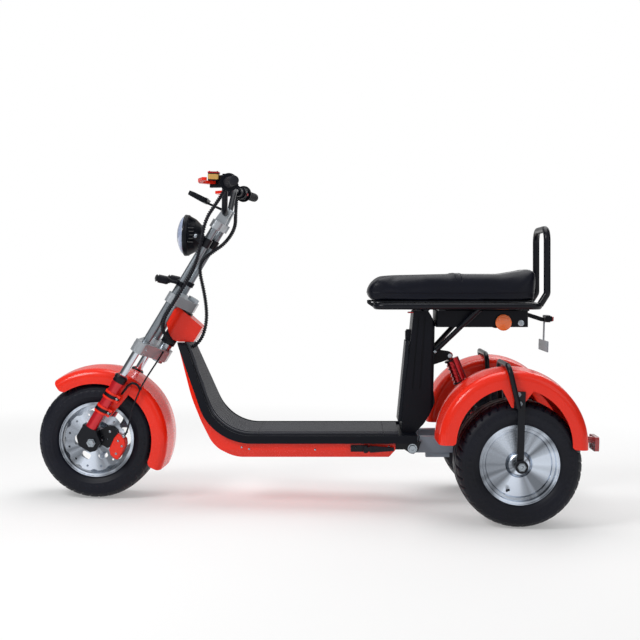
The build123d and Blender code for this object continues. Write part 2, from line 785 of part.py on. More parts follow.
# Feet of the legs, with the plate that carries the brake caliper on the left one
disc_y = -102
disc_thickness = 4
disc_r = 110
disc_carrier_r = 36
brake_plate_y = (disc_y - disc_thickness - 13, disc_y - disc_thickness - 7)
brake_plate = [(-14, -18), (-22, 4), (-14, 20), (8, 24), (24, 40), (48, 56), (66, 52), (84, 40), (84, 6),
               (66, -18),
               (48, -24), (30, -14)]
with BuildPart() as fork_feet:
    for side in (-1, 1):
        with BuildSketch(fork_side(side * leg_y)):
            with BuildLine():
                heel = [(foot_p[0], foot_q[1]), (foot_p[0], foot_q[0] + 24), (foot_p[0] + 24, foot_q[0]),
                        (foot_p[1] + 18, foot_q[0])]
                toe = [(foot_p[1] + 32, foot_q[0] + 14), (foot_p[1] + 32, foot_q[1] - 26),
                       (foot_p[1] + 4, foot_q[1] - 6), (foot_p[1], foot_q[1])]
                Polyline(*heel, *toe, close=True)
            make_face()
        extrude(amount=foot_half, both=True)
    with BuildSketch(wheel_side(front_axle_x, tyre_r, brake_plate_y[1])):
        Circle(15)
    extrude(amount=leg_y + brake_plate_y[1] - 10)
    with BuildSketch(wheel_side(front_axle_x, tyre_r, (brake_plate_y[0] + brake_plate_y[1]) / 2)):
        with BuildLine():
            Polyline(*brake_plate, close=True)
        make_face()
        with Locations((44, 8), (28, 18)):
            Circle(4, mode=Mode.SUBTRACT)
    extrude(amount=(brake_plate_y[1] - brake_plate_y[0]) / 2, both=True)
    with BuildSketch(wheel_side(front_axle_x, tyre_r)):
        Circle(axle_r + fit_gap)
    extrude(amount=leg_y + 60, both=True, mode=Mode.SUBTRACT)
finish(fork_feet, "fork_feet")

with BuildPart() as front_axle:
    with BuildSketch(wheel_side(front_axle_x, tyre_r)):
        Circle(axle_r)
    extrude(amount=leg_y + 28, both=True)
    for side in (-1, 1):
        with BuildSketch(wheel_side(front_axle_x, tyre_r, side * (leg_y + foot_half))):
            RegularPolygon(16, 6)
        extrude(amount=-side * 10)
finish(front_axle, "front_axle")

# Top yoke, bar clamps and handlebar
with BuildPart() as top_yoke:
    low, high = top_yoke_q
    with BuildSketch(fork_level(low)):
        with Locations((upper_tube_p, -upper_tube_y), (upper_tube_p, upper_tube_y)):
            Circle(22)
        with Locations((upper_tube_p, 0)):
            Rectangle(36, 2 * upper_tube_y)
        with Locations((upper_tube_p, -upper_tube_y), (upper_tube_p, upper_tube_y)):
            Circle(upper_tube_r + fit_gap, mode=Mode.SUBTRACT)
    extrude(amount=high - low)
finish(top_yoke, "top_yoke")

bar_route = [on_fork(bar_p, bar_q, 0), on_fork(bar_p, bar_q, bar_rise_y), on_grip(bar_out_y),
             on_grip(bar_end_y)]
with BuildPart() as handlebar:
    for side in (-1, 1):
        round_bar([Vector(v.X, side * v.Y, v.Z) for v in bar_route], [40, 40], bar_r)
finish(handlebar, "handlebar")

clamp_y = 34
clamp_half = 12
clamp_top_q = bar_q + 18
with BuildPart() as bar_clamps:
    for side in (-1, 1):
        with BuildSketch(fork_side(side * clamp_y)):
            with BuildLine():
                Polyline((bar_p - 21, top_yoke_q[1]), (bar_p + 21, top_yoke_q[1]), (bar_p + 18, bar_q - 4),
                         (bar_p + 18, clamp_top_q),
                         (bar_p - 18, clamp_top_q), (bar_p - 18, bar_q - 4), close=True)
            make_face()
            with Locations((bar_p, bar_q)):
                Circle(bar_r + fit_gap, mode=Mode.SUBTRACT)
        extrude(amount=clamp_half, both=True)
finish(bar_clamps, "bar_clamps")

with BuildPart() as grips:
    for side in (-1, 1):
        with BuildSketch(grip_plane(side * grip_inner_y)):
            Circle(grip_r)
        extrude(amount=bar_end_y + grip_cap - grip_inner_y)
        with BuildSketch(grip_plane(side * (grip_inner_y + 18))):
            Circle(grip_r + 2)
        extrude(amount=8)
        with BuildSketch(grip_plane(side * grip_inner_y)):
            Circle(bar_r + fit_gap)
        extrude(amount=bar_end_y + 4 - grip_inner_y, mode=Mode.SUBTRACT)
finish(grips, "grips")

# Switch housing, brake perch, fluid reservoir and mirror hole at the inner end of each grip
control_y = grip_inner_y - 2
perch_y = control_y - 58
mirror_hole_r = 4
mirror_hole_depth = 16
reservoir_size = (38, 36, 29)
with BuildPart() as bar_controls:
    for side in (-1, 1):
        for inboard, radius, length in ((4, 32, 4), (38, 24, 34), (46, 20, 8), (70, 18, 24)):
            with BuildSketch(grip_plane(side * (control_y - inboard))):
                Circle(radius)
            extrude(amount=length)
        hold = on_grip(side * perch_y)
        perch = Plane(origin=hold, x_dir=(1, 0, 0), z_dir=(0, -1, 0))
        with BuildSketch(perch):
            with BuildLine():
                Polyline((-14, -16), (-58, -18), (-58, 8), (-40, 24), (-6, 28), (10, 20), close=True)
            make_face()
        extrude(amount=12, both=True)
        with BuildSketch(Plane(origin=hold + Vector(-44, side * 16, 5), x_dir=(1, 0, 0), z_dir=(0, 0, 1))):
            RectangleRounded(reservoir_size[0], reservoir_size[1], 5)
        extrude(amount=reservoir_size[2])
        with BuildSketch(Plane(origin=hold + Vector(-8, 0, 32), x_dir=(1, 0, 0), z_dir=(0, 0, 1))):
            Circle(8)
        extrude(amount=-14)
        with BuildSketch(Plane(origin=hold + Vector(-8, 0, 32), x_dir=(1, 0, 0), z_dir=(0, 0, 1))):
            Circle(mirror_hole_r)
        extrude(amount=-mirror_hole_depth, mode=Mode.SUBTRACT)
        with BuildSketch(grip_plane(side * (control_y - 90))):
            Circle(bar_r + fit_gap)
        extrude(amount=130, mode=Mode.SUBTRACT)
        with BuildSketch(Plane(origin=hold + Vector(-50, 0, -7), x_dir=(1, 0, 0), z_dir=(0, 0, 1))):
            with Locations((0, side * 10)):
                Rectangle(40, 36)
        extrude(amount=12, mode=Mode.SUBTRACT)
finish(bar_controls, "bar_controls")

# Brake levers, each a flat blade that turns on a pin in its perch
lever_thickness = 11
with BuildPart() as brake_levers:
    for side in (-1, 1):
        hold = on_grip(side * perch_y) + Vector(-50, 0, -1)
        with BuildSketch(Plane(origin=hold, x_dir=(1, 0, 0), z_dir=(0, 0, 1))):
            with BuildLine():
                Polyline((12, side * -8), (-12, side * -8), (-44, side * 26), (-38, side * 90),
                         (-16, side * 148), (-4, side * 152),
                         (0, side * 144), (-22, side * 88), (-26, side * 34), (12, side * 12), close=True)
            make_face()
        extrude(amount=lever_thickness / 2, both=True)
    add(bar_controls.part, mode=Mode.SUBTRACT)
finish(brake_levers, "brake_levers")

# Display on an arm from the middle of the bar
display_x = -440
display_z = 1112
display_slope = 24.5
display_plane = Plane(origin=(display_x, 0, display_z),
                      x_dir=(cos(radians(display_slope)), 0, -sin(radians(display_slope))), z_dir=(0, -1, 0))
bar_centre = display_plane.to_local_coords(on_fork(bar_p, bar_q))
with BuildPart() as display:
    with BuildSketch(display_plane):
        with BuildLine():
            Polyline((-37, 8), (-38, -4), (-34, -9), (24, -12), (36, -8), (37, 8), close=True)
        make_face()
    extrude(amount=52, both=True)
    with BuildSketch(Plane(origin=(display_x, 0, display_z) + display_plane.y_dir * 60, x_dir=(0, 1, 0),
                           z_dir=display_plane.y_dir)):
        RectangleRounded(104, 76, 14)
    extrude(amount=-120, mode=Mode.INTERSECT)
    with BuildSketch(display_plane):
        with BuildLine():
            Polyline((20, -10), (bar_centre.X - 8, bar_centre.Y + 2), (bar_centre.X - 4, bar_centre.Y + 12),
                     (34, -2), close=True)
        make_face()
    extrude(amount=11, both=True)
    with BuildSketch(fork_side(0)):
        with Locations((bar_p, bar_q)):
            Circle(bar_r + 5)
    extrude(amount=11, both=True)
    with BuildSketch(fork_side(0)):
        with Locations((bar_p, bar_q)):
            Circle(bar_r + fit_gap)
    extrude(amount=30, both=True, mode=Mode.SUBTRACT)
finish(display, "display")

# Turn signals on stalks from clamps round the upper tubes
signal_q = 147
signal_y = 126
signal_r = 15
with BuildPart() as indicators:
    for side in (-1, 1):
        with BuildSketch(fork_level(signal_q - 9)):
            with Locations((upper_tube_p, side * upper_tube_y)):
                Circle(upper_tube_r + 5)
        extrude(amount=18)
        root = on_fork(upper_tube_p - 16, signal_q - 2, side * signal_y)
        tip = on_fork(-138, 123, side * signal_y)
        along = (tip - root).normalized()
        reach = (tip - root).length
        with BuildSketch(fork_side(side * (upper_tube_y + 8))):
            with Locations((upper_tube_p - 14, signal_q - 2)):
                Circle(6)
        extrude(amount=-side * (signal_y - upper_tube_y - 4))
        for start, radius, length in ((0, 6, 26), (20, 9, 8),
                                      (26, signal_r - 2, 6), (30, signal_r, reach - 36),
                                      (reach - 8, signal_r - 4, 8)):
            with BuildSketch(Plane(origin=root + along * start, z_dir=along)):
                Circle(radius)
            extrude(amount=length)
        with BuildSketch(fork_level(signal_q - 40)):
            with Locations((upper_tube_p, side * upper_tube_y)):
                Circle(upper_tube_r + fit_gap)
        extrude(amount=80, mode=Mode.SUBTRACT)
finish(indicators, "indicators")

# Headlight on a bracket between the upper tubes
lamp_z = 970
lamp_r = 76
lamp_rim_x = -484
lamp_back_x = -420
with BuildPart() as headlight:
    with BuildSketch(Plane(origin=(0, 0, lamp_z), x_dir=(1, 0, 0), z_dir=(0, -1, 0))):
        with BuildLine():
            Polyline((lamp_rim_x - 4, 0), (lamp_rim_x - 4, lamp_r), (lamp_rim_x + 10, lamp_r),
                     (lamp_rim_x + 14, lamp_r - 4),
                     (lamp_rim_x + 36, lamp_r - 16), (lamp_back_x - 6, 38), (lamp_back_x, 0), close=True)
        make_face()
    revolve(axis=Axis((0, 0, lamp_z), (1, 0, 0)))
finish(headlight, "headlight")

with BuildPart() as headlight_lens:
    with BuildSketch(Plane(origin=(0, 0, lamp_z), x_dir=(1, 0, 0), z_dir=(0, -1, 0))):
        with BuildLine():
            rim = lamp_rim_x - 4.2
            Polyline((rim, 0), (rim, lamp_r - 5), (rim - 8, lamp_r - 12), (rim - 17, 46), (rim - 22, 24),
                     (rim - 24, 0),
                     close=True)
        make_face()
    revolve(axis=Axis((0, 0, lamp_z), (1, 0, 0)))
finish(headlight_lens, "headlight_lens")

lamp_pivot = (-103, 323)
with BuildPart() as lamp_bracket:
    for side in (-1, 1):
        with BuildSketch(fork_level(305)):
            with Locations((upper_tube_p, side * upper_tube_y)):
                Circle(upper_tube_r + 5)
                Circle(upper_tube_r + fit_gap, mode=Mode.SUBTRACT)
        extrude(amount=34)
        with BuildSketch(fork_side(side * 80)):
            with BuildLine():
                Polyline((upper_tube_p - 10, 305), (upper_tube_p - 10, 339), (lamp_pivot[0] - 10, 334),
                         (lamp_pivot[0] - 10, 312), close=True)
            make_face()
        extrude(amount=2.5, both=True)
        with BuildSketch(fork_side(side * 40)):
            with Locations(lamp_pivot):
                Circle(6)
        extrude(amount=-side * 40)
    add(headlight.part, mode=Mode.SUBTRACT)
finish(lamp_bracket, "lamp_bracket")

# Brackets that hold the front mudguard to the fork legs
bracket_y = (front_fender_half_width + soft_gap, leg_y - leg_r - fit_gap)
with BuildPart() as fender_bracket:
    for side in (-1, 1):
        with BuildSketch(fork_side(side * bracket_y[0])):
            with BuildLine():
                Polyline((leg_p - 12, -392), (leg_p - 24, -330), (leg_p - 20, -262), (-14, -262),
                         (-10, -300), (-24, -392),
                         close=True)
            make_face()
        extrude(amount=-side * (bracket_y[1] - bracket_y[0]))
        for q in (-392, -334):
            with BuildSketch(fork_level(q)):
                with Locations((leg_p, side * leg_y)):
                    Circle(leg_r + 4)
                with Locations((leg_p + 28, side * leg_y)):
                    Rectangle(16, 16)
                with Locations((leg_p, side * leg_y)):
                    Circle(leg_r + fit_gap, mode=Mode.SUBTRACT)
            extrude(amount=28)
    add(fork_legs.part, mode=Mode.SUBTRACT)
finish(fender_bracket, "fender_bracket")

# Front brake: scalloped disc on the wheel, and the caliper on its plate
scallops = 12
with BuildPart() as front_disc:
    with BuildSketch(wheel_side(front_axle_x, tyre_r, disc_y)):
        Circle(disc_r)
        Circle(30, mode=Mode.SUBTRACT)
        with PolarLocations(disc_r + 14, scallops):
            Circle(20, mode=Mode.SUBTRACT)
        with PolarLocations(62, 6):
            RectangleRounded(22, 34, 8, mode=Mode.SUBTRACT)
        with PolarLocations(disc_r - 15, scallops, start_angle=180 / scallops):
            Circle(4, mode=Mode.SUBTRACT)
    extrude(amount=disc_thickness)
    with BuildSketch(wheel_side(front_axle_x, tyre_r, disc_y)):
        Circle(disc_carrier_r)
        Circle(axle_r + 8, mode=Mode.SUBTRACT)
    extrude(amount=disc_y + front_hub_half)
finish(front_disc, "front_disc")

pad_gap = 5
caliper_side = [(87, 31), (98, 24), (112, 8), (115, -10), (102, -42), (88, -64), (76, -60), (62, -48),
                (56, -28), (72, 12)]
with BuildPart() as front_caliper:
    with BuildSketch(wheel_side(front_axle_x, tyre_r, disc_y + 18)):
        with BuildLine():
            Polyline(*caliper_side, close=True)
        make_face()
    extrude(amount=44)
    chamfer(front_caliper.faces().sort_by(Axis.Y)[0].edges(), 3)
    with BuildSketch(wheel_side(front_axle_x, tyre_r, disc_y + pad_gap)):
        Circle(disc_r + pad_gap)
    extrude(amount=disc_thickness + 2 * pad_gap, mode=Mode.SUBTRACT)
    with BuildSketch(wheel_side(front_axle_x, tyre_r, brake_plate_y[1] + fit_gap)):
        with BuildLine():
            Polyline((40, -40), (40, 80), (86, 80), (86, -40), close=True)
        make_face()
    extrude(amount=brake_plate_y[1] - brake_plate_y[0] + 2 * fit_gap, mode=Mode.SUBTRACT)
finish(front_caliper, "front_caliper")

# Brake hose up the left leg, and the wiring looms that run down from the bar
hose_r = 3
loom_r = 6.5
# Each route is a list of corners (p, q, y) in the steering frame
hose_route = [(54.7, -430.4, -119), (56, -408, -123), (46, -372, -128), (32, -336, -128), (23, -288, -132),
              (15, -231, -128), (15, -176, -116), (14, -127, -86), (11.7, -101, -66)]
left_loom = [(-84, 523.1, -182), (-91, 462, -150), (-98, 396, -126), (-72, 322, -123), (-46, 246, -121),
             (-40, 176, -118),
             (-41, 122, -118)]
right_loom = [(-84, 523.7, 182), (-52, 470, 146), (-16, 420, 98), (-12, 352, 46), (-34, 296, 4),
              (-46, 250, -24), (-28, 214, -38)]
with BuildPart() as cables:
    for name, route, radius in (("hose", hose_route, hose_r), ("left loom", left_loom, loom_r),
                                ("right loom", right_loom, loom_r)):
        points = [on_fork(p, q, y) for p, q, y in route]
        radii = bend_radii(points)
        print(name, "bend radii", radii)
        round_bar(points, radii, radius)
finish(cables, "cables")

# Seat frame: a loop of tube, two cross tubes on the column, two rails over the box and the hinge lugs
loop_front, loop_rear = seat_loop_u
column_bar_u = (397, 427)
box_bar_u = (482, 782)
hinge_lug_y = (46, 74)
hinge_pin_r = 3
with BuildPart() as seat_frame:
    for side in (-1, 1):
        half_loop = [(loop_front, 0), (loop_front, side * seat_loop_y), (loop_rear, side * seat_loop_y),
                     (loop_rear, 0)]
        round_bar([on_body(u, seat_tube_w, y) for u, y in half_loop], [35, 35], seat_tube_r)
    for u in column_bar_u:
        ends = [on_body(u, column_top_w + seat_tube_r, -seat_loop_y),
                on_body(u, column_top_w + seat_tube_r, seat_loop_y)]
        round_bar(ends, [], seat_tube_r)
    for u in box_bar_u:
        with BuildSketch(body_side()):
            with Locations((u, box_top_w + soft_gap + 4)):
                Rectangle(24, 8)
        extrude(amount=seat_loop_y, both=True)
    for y in (-hinge_lug_y[1], -hinge_lug_y[0], hinge_lug_y[0], hinge_lug_y[1]):
        with BuildSketch(body_side(y)):
            with BuildLine():
                Polyline((loop_front + 8, seat_tube_w - 6), (loop_front + 4, seat_tube_w + 8),
                         (hinge_u + 8, hinge_w - 4),
                         (hinge_u + 6, hinge_w + 6), (hinge_u - 6, hinge_w + 4), (hinge_u - 6, hinge_w - 6),
                         (loop_front - 6, seat_tube_w - 8), close=True)
            make_face()
        extrude(amount=2.5, both=True)
    for side in (-1, 1):
        with BuildSketch(body_side(side * (hinge_lug_y[0] + hinge_lug_y[1]) / 2)):
            with Locations((hinge_u, hinge_w)):
                Circle(hinge_pin_r)
        extrude(amount=(hinge_lug_y[1] - hinge_lug_y[0]) / 2, both=True)
finish(seat_frame, "seat_frame")

strut_r = 9
strut_foot = (458, 552)
with BuildPart() as seat_struts:
    for side in (-1, 1):
        ends = [on_body(616, seat_tube_w - 10, side * 136), on_body(*strut_foot, side * 66)]
        round_bar(ends, [], strut_r)
        with BuildSketch(Plane(origin=ends[0], z_dir=ends[1] - ends[0])):
            Circle(strut_r + 2.5)
        extrude(amount=70)
    add(seat_column.part, mode=Mode.SUBTRACT)
    add(seat_frame.part, mode=Mode.SUBTRACT)
finish(seat_struts, "seat_struts")

# Seat cushion on its pan, which hinges at the front
cushion_side = [(230, 0), (203, 25), (216, 52), (250, 79), (300, 83), (520, 88), (536, 93), (550, 88),
                (700, 88),
                (780, 101), (818, 113), (826, 102), (822, 0)]
cushion_half_width = pan_half_width + 8
cushion_u = (200, 828)
cushion_slope = 34
cushion_side_w = 60
with BuildPart() as seat_cushion:
    with BuildSketch(body_side()):
        with BuildLine():
            Polyline(*[(u, cushion_bottom_w + rise) for u, rise in cushion_side], close=True)
        make_face()
    extrude(amount=cushion_half_width, both=True)
    with BuildSketch(body_level(cushion_bottom_w - 5)):
        with Locations(((cushion_u[0] + cushion_u[1]) / 2, 0)):
            RectangleRounded(cushion_u[1] - cushion_u[0], 2 * cushion_half_width, 55)
    extrude(amount=200, mode=Mode.INTERSECT)
    with BuildSketch(body_front(150)):
        with BuildLine():
            top = cushion_bottom_w + 2 * cushion_side_w
            Polyline((-cushion_half_width, cushion_bottom_w), (-cushion_half_width, top - cushion_side_w),
                     (-cushion_half_width + cushion_slope, top), (cushion_half_width - cushion_slope, top),
                     (cushion_half_width, top - cushion_side_w), (cushion_half_width, cushion_bottom_w),
                     close=True)
        make_face()
    extrude(amount=720, mode=Mode.INTERSECT)
finish(seat_cushion, "seat_cushion")

pan_front_u = 236
pan_rear_u = 815
with BuildPart() as seat_pan:
    with BuildSketch(body_level(cushion_bottom_w - soft_gap - pan_thickness)):
        with Locations(((pan_front_u + pan_rear_u) / 2, 0)):
            RectangleRounded(pan_rear_u - pan_front_u, 2 * pan_half_width, 30)
    extrude(amount=pan_thickness)
    knuckle = (hinge_lug_y[1] - hinge_lug_y[0]) / 2 - 4
    for side in (-1, 1):
        with BuildSketch(body_side(side * (hinge_lug_y[0] + hinge_lug_y[1]) / 2)):
            with Locations((hinge_u, hinge_w)):
                Circle(6)
            with Locations(((hinge_u + pan_front_u + 4) / 2,
                            cushion_bottom_w - soft_gap - pan_thickness / 2)):
                Rectangle(pan_front_u + 4 - hinge_u, pan_thickness)
            with Locations((hinge_u, hinge_w)):
                Circle(hinge_pin_r + running_gap, mode=Mode.SUBTRACT)
        extrude(amount=knuckle, both=True)
finish(seat_pan, "seat_pan")

# Backrest hoop, welded to the rear of the seat's loop
backrest_foot_w = seat_tube_w + 4
backrest_knee_w = seat_tube_w + 45
backrest_top_w = seat_tube_w + backrest_height
with BuildPart() as backrest:
    half_hoop = [on_body(loop_rear + 4, backrest_foot_w, -backrest_y),
                 on_body(backrest_u, backrest_knee_w, -backrest_y),
                 on_body(backrest_u, backrest_top_w, -backrest_y)]
    hoop = half_hoop + [Vector(v.X, -v.Y, v.Z) for v in half_hoop[::-1]]
    round_bar(hoop, [24, 45, 45, 24], backrest_r)
    add(seat_frame.part, mode=Mode.SUBTRACT)
finish(backrest, "backrest")

# Open storage box under the seat, with a reflector on each side and a lock on the left
box_u = (466, 800)
box_half_width = 92
box_depth = 60
box_wall = 3
reflector_place = (708, box_top_w - 43)
reflector_r = 29
lock_place = (772, box_top_w - 45)
with BuildPart() as under_seat_box:
    with BuildSketch(body_level(box_top_w - box_depth)):
        with Locations(((box_u[0] + box_u[1]) / 2, 0)):
            RectangleRounded(box_u[1] - box_u[0], 2 * box_half_width, 12)
    extrude(amount=box_depth)
    for side in (-1, 1):
        with BuildSketch(body_side(side * (box_half_width - 1))):
            with Locations(reflector_place):
                RegularPolygon(reflector_r, 12)
        extrude(amount=-side * 9)
    with BuildSketch(body_side(-box_half_width + 1)):
        with Locations(lock_place):
            Circle(8)
    extrude(amount=4)
    with BuildSketch(body_level(box_top_w - box_depth + box_wall)):
        with Locations(((box_u[0] + box_u[1]) / 2, 0)):
            RectangleRounded(box_u[1] - box_u[0] - 2 * box_wall, 2 * (box_half_width - box_wall), 9)
    extrude(amount=box_depth, mode=Mode.SUBTRACT)
finish(under_seat_box, "under_seat_box")

# Rear shock absorber between the column and the swing arm's beam, with its gas reservoir
shock_length = hypot(shock_low[0] - shock_top[0], shock_low[1] - shock_top[1])
shock_line = Plane(origin=on_body(*shock_low), x_dir=(0, 1, 0),
                   z_dir=on_body(*shock_top) - on_body(*shock_low))
shock_eye_r = 13
shock_body_length = 92
shock_body_r = 20
spring_r = 24
spring_seat = shock_length - shock_body_length - 18
reservoir_y = -30
with BuildPart() as rear_shock:
    for u, w in (shock_top, shock_low):
        with BuildSketch(body_side()):
            with Locations((u, w)):
                Circle(shock_eye_r)
        extrude(amount=shock_eye_half, both=True)
    for start, radius, length in ((4, 9, shock_length - 8), (spring_seat, shock_body_r, shock_body_length),
                                  (spring_seat, spring_r, 8), (spring_seat + 14, spring_r - 1, 6),
                                  (18, spring_r, 6)):
        with BuildSketch(shock_line.offset(start)):
            Circle(radius)
        extrude(amount=length)
    with BuildSketch(shock_line.offset(shock_length - 96)):
        with Locations((reservoir_y - 6, -14)):
            Circle(13)
    extrude(amount=84)
    with BuildSketch(shock_line.offset(shock_length - 44)):
        with Locations((reservoir_y / 2 - 3, -7)):
            Rectangle(30, 20)
    extrude(amount=18)
    for u, w in (shock_top, shock_low):
        with BuildSketch(body_side()):
            with Locations((u, w)):
                Circle(shock_pin_r + fit_gap)
        extrude(amount=60, both=True, mode=Mode.SUBTRACT)
    add(seat_column.part, mode=Mode.SUBTRACT)
finish(rear_shock, "rear_shock")

# Coil spring round the shock absorber's rod
coil_r = 3.5
coil_pitch = 15
with BuildPart() as shock_spring:
    coil_start = 24 + fit_gap + coil_r
    coil_height = spring_seat - fit_gap - coil_r - coil_start
    with BuildLine():
        coil = Helix(coil_pitch, coil_height, spring_r - coil_r)
    with BuildSketch(Plane(origin=coil @ 0, z_dir=coil % 0)) as wire_end:
        RegularPolygon(coil_r, 8)
    turns = sweep(sections=wire_end.sketch, path=coil, is_frenet=True, mode=Mode.PRIVATE)
    add(shock_line.offset(coil_start).location * turns)
finish(shock_spring, "shock_spring")

# Footpegs that fold out on upright pins
peg_pin_u = 208
peg_pin_y = tub_half_width + 20
peg_height = 15
peg_w = (tub_bottom_w + 28.5, tub_bottom_w + 28.5 + peg_height)
peg_taper = 4
peg_pin_r = 4
peg_knuckle_r = 8
ear = 4
with BuildPart() as footpeg_brackets:
    for side in (-1, 1):
        with BuildSketch(body_level(peg_w[0] - ear)):
            with Locations((185, side * (tub_half_width + 3))):
                Rectangle(62, 6)
        extrude(amount=peg_w[1] - peg_w[0] + 2 * ear)
        for w in (peg_w[0] - ear - 0.5, peg_w[1] + 0.5):
            with BuildSketch(body_level(w)):
                with Locations((peg_pin_u, side * peg_pin_y)):
                    Circle(peg_knuckle_r)
                with Locations((peg_pin_u, side * (peg_pin_y + tub_half_width + 2) / 2)):
                    Rectangle(2 * peg_knuckle_r, peg_pin_y - tub_half_width - 2)
            extrude(amount=ear)
        with BuildSketch(body_level(peg_w[0] - 6)):
            with Locations((peg_pin_u, side * peg_pin_y)):
                Circle(peg_pin_r)
        extrude(amount=peg_w[1] - peg_w[0] + 12)
        with BuildSketch(body_side(side * (tub_half_width + 3))):
            with Locations((164, (peg_w[0] + peg_w[1]) / 2)):
                RegularPolygon(9, 6)
        extrude(amount=-side * 9)
finish(footpeg_brackets, "footpeg_brackets")

peg_length = 100
peg_grooves = 6
peg_groove_pitch = 13
for name, side in (("left", -1), ("right", 1)):
    with BuildPart() as footpeg:
        with BuildSketch(body_level(peg_w[0])):
            with Locations((peg_pin_u, side * peg_pin_y)):
                Circle(peg_knuckle_r)
            with Locations((peg_pin_u + 12, side * peg_pin_y)):
                Rectangle(24, 15)
        extrude(amount=peg_w[1] - peg_w[0])
        with BuildSketch(body_side(side * peg_pin_y)):
            with BuildLine():
                Polyline((peg_pin_u + 14, peg_w[0] - peg_taper), (peg_pin_u + peg_length, peg_w[0] + 2.5),
                         (peg_pin_u + peg_length, peg_w[1] - 2.5), (peg_pin_u + 14, peg_w[1] + peg_taper),
                         close=True)
            make_face()
        extrude(amount=10, both=True)
        with BuildSketch(body_level(peg_w[0] - 6)):
            for step in range(peg_grooves):
                groove_u = peg_pin_u + 24 + peg_groove_pitch * step
                with Locations((groove_u, side * (peg_pin_y + 10)), (groove_u, side * (peg_pin_y - 10))):
                    Rectangle(4, 4)
        extrude(amount=30, mode=Mode.SUBTRACT)
        with BuildSketch(body_level(peg_w[0])):
            with Locations((peg_pin_u, side * peg_pin_y)):
                Circle(peg_pin_r + running_gap)
        extrude(amount=30, mode=Mode.SUBTRACT)
    finish(footpeg, f"footpeg_{name}")

# Fender hoops, axle stays and tail reflectors at the rear
hoop_r = 9
stay_y = (rear_axle_y + rear_fender_half_width + soft_gap, rear_axle_y + rear_fender_half_width + 6)
hoop_y = (rear_axle_y - tyre_width / 2 - 24.5, stay_y[1] + hoop_r + fit_gap)
hoop_x = 666
hoop_reach = rear_fender_r + hoop_r + soft_gap
hoop_top_z = rear_fender_z + (hoop_reach ** 2 - (rear_fender_x - hoop_x) ** 2) ** 0.5
with BuildPart() as fender_hoops:
    for side in (-1, 1):
        hoop = [Vector(690, side * hoop_y[0], 245), Vector(hoop_x, side * hoop_y[0], hoop_top_z),
                Vector(hoop_x, side * hoop_y[1], hoop_top_z), Vector(702, side * hoop_y[1], 410)]
        round_bar(hoop, [40, 40], hoop_r)
    add(rear_axles.part, mode=Mode.SUBTRACT)
finish(fender_hoops, "fender_hoops")

# Flat stay from each hoop down to the axle, bolted to the mudguard's tab, with the wheel nut's cap
stay_width = 24
cap_r = 22
with BuildPart() as axle_stays:
    for side in (-1, 1):
        with BuildSketch(wheel_side(rear_axle_x, tyre_r, side * stay_y[0])):
            Circle(20)
            with BuildLine():
                Polyline((-stay_width / 2 - 4, 0), (stay_width / 2 - 4, 0), (stay_width / 2 - 4, 196),
                         (8, 206), (8, 250),
                         (-stay_width / 2 - 18, 250), (-stay_width / 2 - 18, 196),
                         (-stay_width / 2 - 4, 190), close=True)
            make_face()
            Circle(axle_r + fit_gap, mode=Mode.SUBTRACT)
        extrude(amount=-side * (stay_y[1] - stay_y[0]))
        with BuildSketch(wheel_side(rear_axle_x, tyre_r, side * stay_y[1])):
            Circle(cap_r)
            Circle(axle_r + fit_gap, mode=Mode.SUBTRACT)
        extrude(amount=-side * 9)
finish(axle_stays, "axle_stays")

tail_end_x = 992.2
tail_post_r = 12
with BuildPart() as tail_reflectors:
    for side in (-1, 1):
        fender_end = Plane(origin=(rear_fender_x + rear_fender_r - 2, side * rear_axle_y, rear_fender_z + 14),
                           x_dir=(0, 1, 0), z_dir=(1, 0, 0))
        with BuildSketch(fender_end):
            Circle(tail_post_r)
        extrude(amount=tail_end_x - rear_fender_x - rear_fender_r)
        with BuildSketch(Plane(origin=(tail_end_x - 14, side * rear_axle_y, rear_fender_z + 4),
                               x_dir=(0, 1, 0),
                               z_dir=(1, 0, 0))):
            RectangleRounded(90, 50, 10)
        extrude(amount=14)
    for shell in fenders.values():
        add(shell.part, mode=Mode.SUBTRACT)
finish(tail_reflectors, "tail_reflectors")

# Tail lamp on an arm from the storage box, and the number plate's holder below it
lamp_arm = [(box_u[1], 0), (box_u[1], -16), (box_u[1] + 62, -36), (box_u[1] + 72, -36),
            (box_u[1] + 72, -24), (box_u[1] + 62, -20)]
lamp_arm_w = box_top_w - 6
with BuildPart() as tail_lamp:
    with BuildSketch(body_side()):
        with BuildLine():
            Polyline(*[(u, lamp_arm_w + rise) for u, rise in lamp_arm], close=True)
        make_face()
    extrude(amount=11, both=True)
    lamp_place = on_body(box_u[1] + 74, lamp_arm_w - 26)
    with BuildSketch(Plane(origin=lamp_place, x_dir=(0, 1, 0), z_dir=(1, 0, 0))):
        RectangleRounded(64, 26, 8)
    extrude(amount=18)
    with BuildSketch(Plane(origin=lamp_place + Vector(18, 0, 0), x_dir=(0, 1, 0), z_dir=(1, 0, 0))):
        RectangleRounded(56, 20, 6)
    extrude(amount=6)
finish(tail_lamp, "tail_lamp")

plate_x = lamp_place.X
plate_drop = 100
plate_z = lamp_place.Z - plate_drop
plate_hole_y = 60
plate_hole_r = 3.2
plate_thickness = 3
with BuildPart() as plate_holder:
    with BuildSketch(Plane(origin=(plate_x - plate_thickness / 2, 0, plate_z), x_dir=(0, 1, 0),
                           z_dir=(1, 0, 0))):
        RectangleRounded(180, 40, 5)
        with Locations((0, 0.45 * plate_drop)):
            Rectangle(20, 0.9 * plate_drop)
        with Locations((-plate_hole_y, 0), (plate_hole_y, 0)):
            Circle(plate_hole_r, mode=Mode.SUBTRACT)
    extrude(amount=plate_thickness)
    add(tail_lamp.part, mode=Mode.SUBTRACT)
finish(plate_holder, "plate_holder")
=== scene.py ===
# %% [markdown]
